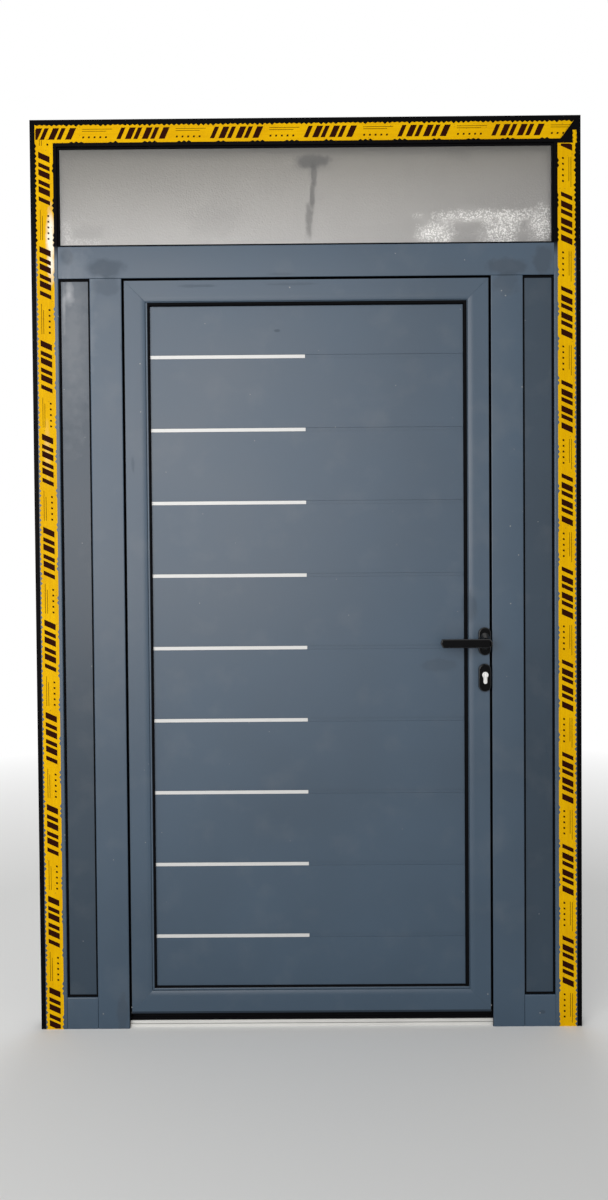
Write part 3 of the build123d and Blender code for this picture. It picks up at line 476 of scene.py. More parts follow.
@dataclass(frozen=True)
class Finish:
    """What every finish has: a name, its slot in the record, and a plain colour."""

    name: str
    slot: Slot
    tone: Colour
    roughness: float = 0.5
    metallic: float = 0.0

    def material(self) -> bpy.types.Material:
        """The finish's material, made at its first use."""
        known = bpy.data.materials.get(self.name)
        if known is not None:
            return known
        made = bpy.data.materials.new(self.name)
        made.use_nodes = True
        made.diffuse_color = self.tone
        sheet = Sheet(made.node_tree)
        shader = sheet.add("BsdfPrincipled", Base_Color=self.tone, Roughness=self.roughness,
                           Metallic=self.metallic)
        self.draw(sheet, shader)
        end = sheet.add("OutputMaterial")
        sheet.feed(end, "Surface", shader.outputs[0])
        return made

    def draw(self, sheet: Sheet, shader: Node) -> None:
        """Draws the finish's own detail. A plain finish has only its colour."""

    def bump(self, sheet: Sheet, shader: Node, height: object, depth: float, strength: float = 1.0) -> None:
        """Raises a height into the shader's normal.

        Args:
            sheet: the material's sheet.
            shader: its shader.
            height: the height's socket, from 0 to about 1.
            depth: what a height of 1 stands proud, in metres.
            strength: the bump's strength.
        """
        bump = sheet.add("Bump", Strength=strength, Distance=depth)
        sheet.feed(bump, "Height", height)
        sheet.feed(shader, "Normal", bump.outputs[0])

    def blot(self, sheet: Sheet, place: Socket, mark: Mark, edge: float = 0.35, stray: float = 0.5) -> Socket:
        """The mask of one uneven blot.

        Args:
            sheet: the material's sheet.
            place: the coordinates' socket.
            mark: where it lies, how far it reaches and how strong it is.
            edge: how soft its edge is.
            stray: how far its outline strays from an oval.

        Returns:
            The mask's socket.
        """
        mask = sheet.stamp(Effect.SMUDGE, Vector=place, Middle=(mark.x * MM, 0.0, mark.z * MM),
                           Reach=(mark.reach_x * MM, 1.0, mark.reach_z * MM), Unevenness=stray, Edge=edge)
        return sheet.times(mask, mark.strength)

    def darker(self, share: float) -> Colour:
        """The finish's colour with only this share of its light."""
        return (self.tone[0] * share, self.tone[1] * share, self.tone[2] * share, 1.0)


@dataclass(frozen=True)
class PowderCoat(Finish):
    """A satin powder coat with a fine skin, slow changes, darker smudges that are partly dirt and partly
    painted shadow, painted highlights and a little dust.
    """

    marks: tuple[Mark, ...] = ()
    painted_highlights: tuple[Mark, ...] = ()
    painted_highlight: Colour = (0.42, 0.43, 0.45, 1.0)
    specular: float = 0.58
    sheen: Colour = (1.0, 0.94, 0.90, 1.0)
    dust: Colour = (0.36, 0.35, 0.33, 1.0)
    skin_depth: float = 0.05 * MM
    unevenness: float = 0.07
    gloss_change: float = 0.03
    mark_shade: float = 0.55
    mark_roughness: float = 0.25

    def draw(self, sheet: Sheet, shader: Node) -> None:
        """Draws cloud, smudges, painted highlights, dust and skin over the plain colour."""
        place = sheet.place()
        cloud = sheet.stamp(Effect.CLOUD, Vector=place, Scale=2.3)
        colour = sheet.blend(cloud, self.darker(1 - self.unevenness), self.darker(1 + self.unevenness))
        change = self.gloss_change
        rough = sheet.span(cloud, 0.0, 1.0, self.roughness - change, self.roughness + change)
        for mark in self.marks:
            share = self.blot(sheet, place, mark)
            colour = sheet.blend(share, colour, self.darker(self.mark_shade))
            rough = sheet.number("ADD", rough, sheet.times(share, self.mark_roughness))
        # Pale patches painted on the coat stand in for highlights, painted reflections of the bright
        # surroundings.
        for mark in self.painted_highlights:
            colour = sheet.blend(self.blot(sheet, place, mark, edge=0.9), colour, self.painted_highlight)
        specks = sheet.stamp(Effect.SPECKS, Vector=place, Cells=90.0, Share=0.012, Size=0.2)
        veil = sheet.stamp(Effect.CLOUD, Vector=place, Scale=11.0, Low=0.55, High=0.8)
        dusty = sheet.number("MAXIMUM", sheet.times(specks, 0.5), sheet.times(veil, 0.05))
        colour = sheet.blend(dusty, colour, self.dust)
        colour, specular = self.shade(sheet, place, colour)
        sheet.feed(shader, "Base Color", colour)
        sheet.feed(shader, "Roughness", rough)
        sheet.feed(shader, "Specular IOR Level", specular)
        sheet.feed(shader, "Specular Tint", self.sheen)
        skin = sheet.stamp(Effect.TOOTH, Vector=place, Cells=1400.0, Waves=160.0)
        self.bump(sheet, shader, skin, self.skin_depth)

    def shade(self, sheet: Sheet, place: object, colour: object) -> tuple[object, object]:
        """The colour and the gloss that are left after any shading. A plain coat keeps both."""
        return colour, self.specular


@dataclass(frozen=True)
class RimCoat(PowderCoat):
    """The coat of a bar at the frame's rim, with painted shade outside the film and round the light."""

    rim_x: float = 737.0
    light_low: float = 2120.0
    light_high: float = 2160.0
    head_z: float = 2420.0
    painted_shade: Colour = (0.0015, 0.0015, 0.002, 1.0)
    painted_shade_gloss: float = 0.03

    def shade(self, sheet: Sheet, place: object, colour: object) -> tuple[object, object]:
        """Paints shade on the rim, the head and the jambs beside the light, with less gloss there."""
        axes = sheet.add("SeparateXYZ", Vector=place)
        side = sheet.number("ABSOLUTE", axes.outputs["X"])
        edge = sheet.number("GREATER_THAN", side, self.rim_x * MM)
        head = sheet.number("GREATER_THAN", axes.outputs["Z"], self.head_z * MM)
        beside = sheet.span(axes.outputs["Z"], self.light_low * MM, self.light_high * MM, 0.0, 1.0)
        rim = sheet.number("MAXIMUM", sheet.number("MAXIMUM", edge, head), beside)
        gloss = sheet.span(rim, 0.0, 1.0, self.specular, self.painted_shade_gloss)
        return sheet.blend(rim, colour, self.painted_shade), gloss


@dataclass(frozen=True)
class DrawnMetal(Finish):
    """Brushed or extruded metal, with lines along its run, stains and a few specks."""

    run: Run = Run.ALONG_X
    line_depth: float = 0.02 * MM
    stain: float = 0.15
    gloss_change: float = 0.08

    def draw(self, sheet: Sheet, shader: Node) -> None:
        """Draws the lines in colour, gloss and height."""
        place = sheet.place()
        lines = sheet.stamp(Effect.GRAIN, Vector=place, Stretch=self.run.value)
        colour = sheet.blend(sheet.span(lines, 0.3, 0.7, 0.0, 1.0), self.darker(0.86), self.tone)
        cloud = sheet.stamp(Effect.CLOUD, Vector=place, Scale=7.0, Low=0.45, High=0.75)
        colour = sheet.blend(sheet.times(cloud, self.stain), colour, self.darker(0.5))
        specks = sheet.stamp(Effect.SPECKS, Vector=place, Cells=260.0, Share=0.05, Size=0.2)
        colour = sheet.blend(sheet.times(specks, 0.6), colour, self.darker(0.35))
        sheet.feed(shader, "Base Color", colour)
        change = self.gloss_change
        rough = sheet.span(lines, 0.2, 0.8, self.roughness - change, self.roughness + change)
        sheet.feed(shader, "Roughness", rough)
        self.bump(sheet, shader, lines, self.line_depth)


@dataclass(frozen=True)
class Moulded(Finish):
    """Rubber, plastic or foam: a fine skin with dust in its low places."""

    cells: float = 1200.0
    skin_depth: float = 0.06 * MM
    dust_share: float = 0.12
    dust: Colour = (0.3, 0.29, 0.27, 1.0)
    specular: float = 0.5
    wiped: float = 0.04
    dulled: float = 0.1

    def draw(self, sheet: Sheet, shader: Node) -> None:
        """Draws the skin, a thin veil of dust and a change of gloss."""
        place = sheet.place()
        skin = sheet.stamp(Effect.TOOTH, Vector=place, Cells=self.cells, Waves=self.cells / 8)
        veil = sheet.stamp(Effect.CLOUD, Vector=place, Scale=18.0, Low=0.45, High=0.8)
        colour = sheet.blend(sheet.times(veil, self.dust_share), self.tone, self.dust)
        sheet.feed(shader, "Base Color", colour)
        rough = sheet.span(veil, 0.0, 1.0, self.roughness - self.wiped, self.roughness + self.dulled)
        sheet.feed(shader, "Roughness", rough)
        sheet.feed(shader, "Specular IOR Level", self.specular)
        self.bump(sheet, shader, skin, self.skin_depth)


@dataclass(frozen=True)
class FrostedPane(Finish):
    """Obscured glass: a pebbled, light-scattering pane with a stain, settled dust, painted shade towards its
    head and right side, and painted glints.
    """

    pebble: float = 260.0
    pebble_depth: float = 0.5 * MM
    clear: float = 0.8
    # Painted shade: the pane fades to this colour at its head, and darkens by the next share towards its
    # right side lower down.
    upper: Colour = (0.32, 0.305, 0.275, 1.0)
    painted_side_shade: float = 0.9
    stains: tuple[Mark, ...] = ()
    painted_glints: tuple[Mark, ...] = ()
    painted_glint: Colour = (1.0, 0.99, 0.97, 1.0)
    stray: float = 0.8

    def draw(self, sheet: Sheet, shader: Node) -> None:
        """Draws the pebbles, the painted shade at the head and right side, the stains and the painted glints.
        """
        place = sheet.place()
        low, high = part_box("transom_outer_pane")
        axes = sheet.add("SeparateXYZ", Vector=place)
        # Painted shade: darker towards the pane's head, and towards its right side lower down.
        pale = sheet.span(axes.outputs["Z"], low.z, high.z, 1.0, 0.0)
        colour = sheet.blend(pale, self.upper, self.darker(1.25))
        right = sheet.span(axes.outputs["X"], low.x, high.x, 0.0, self.painted_side_shade)
        colour = sheet.blend(sheet.times(right, pale), colour, self.darker(0.6))
        cloud = sheet.stamp(Effect.CLOUD, Vector=place, Scale=5.0)
        colour = sheet.blend(sheet.times(cloud, 0.1), colour, self.darker(0.6))
        for mark in self.stains:
            colour = sheet.blend(self.blot(sheet, place, mark, 0.45, self.stray), colour, self.darker(0.3))
        glint_cells = sheet.stamp(Effect.SPECKS, Vector=place, Cells=300.0, Share=0.85, Size=1.0)
        # Painted glints: white specks in patches stand in for reflections on the pebbled glass.
        for mark in self.painted_glints:
            shown = sheet.times(self.blot(sheet, place, mark, 0.6, self.stray), glint_cells)
            colour = sheet.blend(shown, colour, self.painted_glint)
        pebbles = sheet.add("TexVoronoi", Vector=place, Scale=self.pebble, feature="SMOOTH_F1")
        sheet.feed(shader, "Base Color", colour)
        sheet.feed(shader, "Transmission Weight", self.clear)
        sheet.feed(shader, "IOR", 1.5)
        self.bump(sheet, shader, pebbles.outputs["Distance"], self.pebble_depth)


@dataclass(frozen=True)
class FilmFinish(Finish):
    """Thin adhesive film: creased, a little uneven in colour, with a stretch of painted sheen."""

    sheen_painted: tuple[Mark, ...] = ()
    streaks: Point = (240.0, 240.0, 5.0)
    specular: float = 0.03
    sheen_paint: Colour = (0.86, 0.8, 0.66, 1.0)
    dirt: Colour = (0.16, 0.09, 0.02, 1.0)
    crease_depth: float = 0.5 * MM

    def draw(self, sheet: Sheet, shader: Node) -> None:
        """Draws the streaks along the strip, the painted sheen, the dirt and the creases."""
        place = sheet.place()
        cloud = sheet.stamp(Effect.CLOUD, Vector=place, Scale=9.0, Low=0.35, High=0.7)
        lines = sheet.stamp(Effect.GRAIN, Vector=place, Stretch=self.streaks)
        amber = (self.tone[0] * 0.84, self.tone[1] * 0.76, self.tone[2] * 0.5, 1.0)
        streaky = sheet.number("ADD", cloud, sheet.span(lines, 0.35, 0.65, 0.0, 1.0))
        shown = sheet.times(streaky, 0.5)
        colour = sheet.blend(shown, amber, self.tone)
        # A whitish stretch painted on the film stands in for its sheen.
        for mark in self.sheen_painted:
            colour = sheet.blend(self.blot(sheet, place, mark, edge=0.7), colour, self.sheen_paint)
        specks = sheet.stamp(Effect.SPECKS, Vector=place, Cells=150.0, Share=0.06, Size=0.3)
        colour = sheet.blend(sheet.times(specks, 0.5), colour, self.dirt)
        sheet.feed(shader, "Base Color", colour)
        sheet.feed(shader, "Specular IOR Level", self.specular)
        creases = sheet.add("TexNoise", Vector=place, Scale=45.0, Detail=3.0, Distortion=1.5)
        self.bump(sheet, shader, creases.outputs["Fac"], self.crease_depth, 0.6)


# Darker smudges on the coat, mostly dirt; the mark at x 360, z 1003 is the lever's painted shadow on the
# panel, and the one at x -524, z 44 darkens the left mullion's foot beside the gap.
COAT_SMUDGES_AND_SHADOW = (
    Mark(-549, 2098, 60, 30, 0.55), Mark(-655, 2130, 22, 26, 0.45), Mark(546, 2092, 66, 26, 0.6),
    Mark(645, 2110, 30, 48, 0.6), Mark(-545, 2048, 42, 30, 0.3), Mark(548, 2046, 44, 34, 0.4),
    Mark(-80, 1926, 9, 4, 0.6), Mark(-505, 1884, 6, 14, 0.4), Mark(-300, 2047, 60, 5, 0.35),
    Mark(-30, 2050, 90, 4, 0.3), Mark(-70, 2078, 40, 5, 0.3), Mark(-478, 1560, 6, 24, 0.3),
    Mark(640, 40, 9, 6, 0.6), Mark(444, 1165, 24, 50, 0.45), Mark(360, 1003, 62, 20, 0.35),
    Mark(-524, 44, 18, 62, 0.5),
)
# Pale patches on the left side panel's upper part: a painted reflection.
COAT_PAINTED_HIGHLIGHTS = (Mark(-650, 2030, 16, 42, 0.5), Mark(-664, 2000, 6, 90, 0.3), Mark(-640, 1930, 70, 330, 0.16))
COAT_TONE = (0.031, 0.060, 0.095, 1.0)
COAT = PowderCoat("anthracite_coat", Slot.COAT, COAT_TONE, roughness=0.42, marks=COAT_SMUDGES_AND_SHADOW,
                  painted_highlights=COAT_PAINTED_HIGHLIGHTS)
# The rim's coat paints near-black shade on the frame's outer band, on the head and on the jambs beside the
# light.
RIM_COAT = RimCoat("rim_coat", Slot.COAT, COAT_TONE, roughness=0.42, marks=COAT_SMUDGES_AND_SHADOW)
SIDE_COAT = PowderCoat("side_panel_coat", Slot.COAT, (0.021, 0.040, 0.062, 1.0), roughness=0.36,
                       marks=COAT_SMUDGES_AND_SHADOW, painted_highlights=COAT_PAINTED_HIGHLIGHTS, specular=0.44)
# Near-black painted shade for the faces in the gap round the leaf and for the door stops behind it.
GAP_COAT = PowderCoat("gap_painted_shade", Slot.COAT, (0.002, 0.002, 0.003, 1.0), roughness=0.6, specular=0.04,
                      dust=(0.01, 0.01, 0.01, 1.0))
# A darker mill finish for the threshold's step ledge: a painted shade line.
MILL_STEP_SHADE = DrawnMetal("mill_step_shade", Slot.MILL, (0.34, 0.335, 0.32, 1.0), roughness=0.5, metallic=0.2)
MILL = DrawnMetal("mill_finish", Slot.MILL, (0.80, 0.79, 0.76, 1.0), roughness=0.42, metallic=0.4)
SPACER = DrawnMetal("spacer_bar", Slot.SPACER, (0.42, 0.42, 0.42, 1.0), roughness=0.4, metallic=0.9)
STRIP = DrawnMetal("inlay_steel", Slot.STEEL, (0.61, 0.605, 0.59, 1.0), roughness=0.45, metallic=0.1,
                   stain=0.05)
STEEL = DrawnMetal("brushed_steel", Slot.STEEL, (0.62, 0.61, 0.59, 1.0), roughness=0.32, metallic=1.0,
                   run=Run.ALONG_Z)
NICKEL = DrawnMetal("satin_nickel", Slot.NICKEL, (0.86, 0.85, 0.84, 1.0), roughness=0.28, metallic=0.85,
                    run=Run.ALONG_Z, line_depth=0.008 * MM)
BREAK = Moulded("break_plastic", Slot.BREAK, (0.018, 0.018, 0.019, 1.0), roughness=0.6)
RUBBER = Moulded("seal_rubber", Slot.RUBBER, (0.0016, 0.0016, 0.0022, 1.0), roughness=0.7, dust_share=0.001,
                 specular=0.05)
# The carrier's dark bluish tone is painted shade under the leaf's bottom rail.
CARRIER = Moulded("carrier_painted_shade", Slot.BREAK, (0.016, 0.026, 0.040, 1.0), roughness=0.5, dust_share=0.01,
                  specular=0.2)
FOAM = Moulded("rigid_foam", Slot.FOAM, (0.75, 0.70, 0.52, 1.0), roughness=0.9, cells=700.0,
               skin_depth=0.5 * MM, dust_share=0.05)
BLACK_TONE = (0.0016, 0.0016, 0.0020, 1.0)
BLACK = Moulded("satin_black", Slot.BLACK, BLACK_TONE, roughness=0.2, cells=1600.0,
                skin_depth=0.015 * MM, dust_share=0.002, specular=0.07)
BLACK_ROUND = Moulded("satin_black_round", Slot.BLACK, BLACK_TONE, roughness=0.16, cells=1600.0,
                      skin_depth=0.01 * MM, dust_share=0.002, specular=0.6)
PANE_STAINS = (
    Mark(18, 2386, 58, 24, 0.75), Mark(24, 2350, 10, 44, 0.6), Mark(19, 2292, 9, 50, 0.6),
    Mark(9, 2228, 12, 50, 0.5), Mark(-260, 2230, 90, 60, 0.1), Mark(-600, 2195, 60, 30, 0.12),
    Mark(420, 2400, 50, 20, 0.12),
)
# Patches of painted glints on the pane.
PANE_PAINTED_GLINTS = (
    Mark(357, 2190, 62, 46, 1.0), Mark(538, 2198, 70, 62, 1.0), Mark(500, 2236, 210, 20, 1.0),
    Mark(650, 2212, 48, 62, 0.9), Mark(-655, 2195, 18, 50, 0.5), Mark(-600, 2172, 80, 14, 0.4),
)
PANE = FrostedPane("frosted_pane", Slot.GLASS, (0.56, 0.55, 0.54, 1.0), roughness=0.45, stains=PANE_STAINS,
                   painted_glints=PANE_PAINTED_GLINTS)
FILM_TONE = (0.74, 0.43, 0.0006, 1.0)
# The left film carries the painted sheen.
FILM = FilmFinish("yellow_film", Slot.FILM, FILM_TONE, roughness=0.42,
                  sheen_painted=(Mark(-696, 2165, 14, 125, 1.0), Mark(-712, 1600, 10, 90, 0.15)))
HEAD_FILM = FilmFinish("yellow_head_film", Slot.FILM, FILM_TONE, roughness=0.42, streaks=(5.0, 240.0, 240.0))
INK = Moulded("film_print", Slot.FILM, (0.022, 0.004, 0.0015, 1.0), roughness=0.6, dust_share=0.004,
              specular=0.02)


def dress(piece: Piece, finish: Finish) -> Piece:
    """Gives a piece one finish all over."""
    piece.data.materials.clear()
    piece.data.materials.append(finish.material())
    return piece


@dataclass
class Profiles:
    """The visible bars, sheets and gaskets, with the small radius that real edges have."""

    bar_radius: float = 0.7 * MM
    sheet_radius: float = 0.4 * MM
    lip_radius: float = 1.1 * MM
    plate_radius: float = 1.6 * MM
    grip_radius: float = 0.8 * MM
    mitre_share: float = 0.6
    gap_inner: float = 497.2 * MM
    gap_outer: float = 504.8 * MM
    gap_low: float = 2062.2 * MM
    gap_high: float = 2069.8 * MM
    leg_side: float = 434.0 * MM
    leg_low: float = 112.0 * MM
    leg_high: float = 1999.0 * MM
    leg_back: float = -20.0 * MM
    nose_width: float = 6.2 * MM
    nose_middle: float = -31.5 * MM
    nose_valley: float = -32.05 * MM
    nose_share: float = 0.5
    slope_low: float = 6.05 * MM
    slope_width: float = 16.0 * MM
    slope_depth: float = 3.0 * MM
    still: float = 0.02
    slope_cuts: tuple[float, ...] = (18.0 * MM, 14.0 * MM, 10.0 * MM, 8.0 * MM)
    face_depth: float = -35.0 * MM
    bed_low: float = 16.8 * MM
    bed_back: float = -16.4 * MM
    ledge_low: float = 7.8 * MM
    ledge_high: float = 8.8 * MM
    ledge_back: float = -21.5 * MM
    tread_end: float = 497.0 * MM

    def shape_leg(self, piece: Piece) -> None:
        """Rounds a leaf bar's face away to its leg's nose, which it sinks to a low bead."""
        planes = [(Vector((way * (self.leg_side + cut), 0, 0)), Vector((1, 0, 0))) for cut in self.slope_cuts
                  for way in (-1, 1)]
        planes += [(Vector((0, 0, level)), Vector((0, 0, 1))) for cut in self.slope_cuts
                   for level in (self.leg_low - cut, self.leg_high + cut)]
        for middle, way in planes:
            with Bench.editing(piece) as mesh:
                Bench.pick_faces(mesh, lambda face: face.calc_center_median().y < self.leg_back)
                bpy.ops.mesh.bisect(plane_co=middle, plane_no=way)
        start = self.slope_low + self.slope_width
        for vertex in piece.data.vertices:
            x, y, z = vertex.co
            inside = max(abs(x) - self.leg_side, self.leg_low - z, z - self.leg_high)
            share = (start - inside) / self.slope_width
            if inside < self.nose_width and y < self.nose_valley:
                vertex.co.y = self.nose_middle + (y - self.nose_middle) * self.nose_share
            elif self.still < share < 1 and y < self.face_depth + self.slope_depth:
                vertex.co.y = min(y, self.face_depth + self.slope_depth * share ** 2)

    def split_ends(self, piece: Piece) -> None:
        """Parts the threshold's faces where the leaf's seal ends, for a finish on each side of that."""
        for way in (-1, 1):
            Bench.slit(piece, (way * self.tread_end, 0, 0), (1, 0, 0), trim=False)

    def on_bed(self, place: Vector) -> bool:
        """Whether a point of the threshold lies under the leaf's seal or past its ends."""
        return place.z > self.bed_low and (place.y < self.bed_back or abs(place.x) > self.tread_end)

    def in_gap(self, place: Vector) -> bool:
        """Whether a point lies in the gap round the leaf."""
        side = abs(place.x)
        beside = self.gap_inner < side < self.gap_outer and place.z < self.gap_high
        above = self.gap_low < place.z < self.gap_high and side < self.gap_outer
        return beside or above

    @staticmethod
    def paint(piece: Piece, finish: Finish, wanted: Callable[[Vector], bool]) -> None:
        """Gives a second finish to the faces that don't look inwards and whose middle passes the test."""
        piece.data.materials.append(finish.material())
        for face in piece.data.polygons:
            if face.normal.y < FACES_IN and wanted(face.center):
                face.material_index = len(piece.data.materials) - 1

    @staticmethod
    def gloss(piece: Piece) -> None:
        """Gives the roundings of a black fitting their sharper gloss."""
        piece.data.materials.append(BLACK_ROUND.material())
        for face in piece.data.polygons:
            if ROUND_LOW < abs(face.normal.y) < ROUND_HIGH:
                face.material_index = 1

    def soften(self, node: str, body: Body, finish: Finish, radius: float,
               shape: Callable[[Piece], None] | None = None) -> Piece:
        """Stands a rounded copy in for a CAD node.

        Args:
            node: the CAD node.
            body: what it rides on.
            finish: its finish.
            radius: its edges' radius.
            shape: what is done to it before its edges are rounded.

        Returns:
            The copy.
        """
        piece = Bench.merged_copy(node, node + "_soft")
        if shape:
            shape(piece)
        Bench.round_edges(piece, radius, self.mitre_share)
        dress(piece, finish)
        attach(piece, body.value)
        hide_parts(node)
        LOG.info("%s has %d faces", piece.name, len(piece.data.polygons))
        return piece

    def build(self) -> None:
        """Makes every visible profile."""
        for node in ("left_jamb", "right_jamb", "frame_head"):
            piece = self.soften(node, Body.FRAME, COAT, self.bar_radius)
            # The outer shells of the jambs and the head take the rim's painted shade.
            self.paint(piece, RIM_COAT, lambda place: place.y < 0)
        for node in ("transom", "left_mullion", "right_mullion", "left_sill_rail", "right_sill_rail"):
            # Faces in the gap round the leaf take the gap's painted shade.
            self.paint(self.soften(node, Body.FRAME, COAT, self.bar_radius), GAP_COAT, self.in_gap)
        for node in ("hinge_stile", "lock_stile", "leaf_top_rail", "leaf_bottom_rail"):
            piece = self.soften(node, Body.LEAF, COAT, self.bar_radius, self.shape_leg)
            # Faces in the gap round the leaf take the gap's painted shade.
            self.paint(piece, GAP_COAT, self.in_gap)
        self.soften("panel_outer_skin", Body.LEAF, COAT, self.sheet_radius)
        self.soften("inlay_strips", Body.LEAF, STRIP, self.sheet_radius / 2)
        threshold = self.soften("threshold", Body.FRAME, MILL, self.sheet_radius, self.split_ends)
        # The threshold's upper step under the leaf's seal and past its ends takes black rubber: painted shade
        # of the leaf.
        self.paint(threshold, RUBBER, self.on_bed)
        # A thin band at the threshold's step ledge takes the darker finish: a painted shade line.
        self.paint(threshold, MILL_STEP_SHADE, lambda place: self.ledge_low < place.z < self.ledge_high
                   and place.y < self.ledge_back)
        for node in ("frame_outer_gaskets", "frame_inner_gaskets"):
            self.soften(node, Body.FRAME, RUBBER, self.lip_radius)
        for node in ("leaf_inner_gasket", "bottom_seal"):
            self.soften(node, Body.LEAF, RUBBER, self.lip_radius)
        gasket = self.soften("leaf_outer_gasket", Body.LEAF, RUBBER, self.lip_radius)
        dress(Bench.join([gasket, PanelLip().build()], gasket.name), RUBBER)
        for node, body in (("lever_rosettes", Body.LEAF), ("key_escutcheons", Body.LEAF),
                           ("outer_lever", Body.HANDLE), ("inner_lever", Body.HANDLE)):
            radius = self.plate_radius if body is Body.LEAF else self.grip_radius
            self.gloss(self.soften(node, body, BLACK, radius))


@dataclass
class PanelLip:
    """The round rubber lip beside the panel: thin along the bottom, wide above and at the lock."""

    side: float = 432.4 * MM
    wide_side: float = 434.2 * MM
    low: float = 113.2 * MM
    high: float = 1999.2 * MM
    depth: float = -30.6 * MM
    wide_depth: float = -29.4 * MM
    radius: float = 3.6 * MM
    wide_radius: float = 5.5 * MM
    low_radius: float = 2.2 * MM
    flatness: float = 0.94
    sides: int = 16

    def _length(self, start: Vector, end: Vector, radius: float,
                mitres: Sequence[tuple[Vector, Vector]]) -> Piece:
        """One length of lip, a little flat, with its ends cut at their mitres.

        Args:
            start: the middle of its first end.
            end: the middle of its other end.
            radius: its radius.
            mitres: a point and an outward direction for each cut.

        Returns:
            The length.
        """
        piece = Bench.rod("panel_lip", start, end, radius, self.sides)
        with Bench.editing(piece, whole=True):
            bpy.ops.transform.resize(value=(1.0, self.flatness, 1.0))
        for corner, way in mitres:
            Bench.slit(piece, corner, way)
        return piece

    def build(self) -> Piece:
        """Makes the four lengths and joins them."""
        spread = Vector((2 * self.wide_radius, 0, 0))
        over = Vector((0, 0, 2 * self.wide_radius))
        left = Vector((-self.side, self.depth, self.high))
        right = Vector((self.wide_side, self.wide_depth, self.high))
        top = Vector((-self.side, self.wide_depth, self.high))
        left_foot = Vector((left.x, left.y, self.low))
        right_foot = Vector((right.x, right.y, self.low))
        low_left = Vector((-self.side, self.wide_depth, self.low))
        lengths = [
            self._length(left_foot, left + over, self.radius, [(left, Vector((1, 0, 1)))]),
            self._length(right_foot, right + over, self.wide_radius, [(right, Vector((-1, 0, 1)))]),
            self._length(top - spread, right + spread, self.wide_radius,
                         [(top, Vector((-1, 0, -1))), (right, Vector((1, 0, -1)))]),
            self._length(low_left, right_foot, self.low_radius, []),
        ]
        lip = Bench.join(lengths, "panel_lip")
        Bench.take(lip)
        bpy.ops.object.shade_smooth_by_angle(angle=SHARP_ANGLE)
        return lip


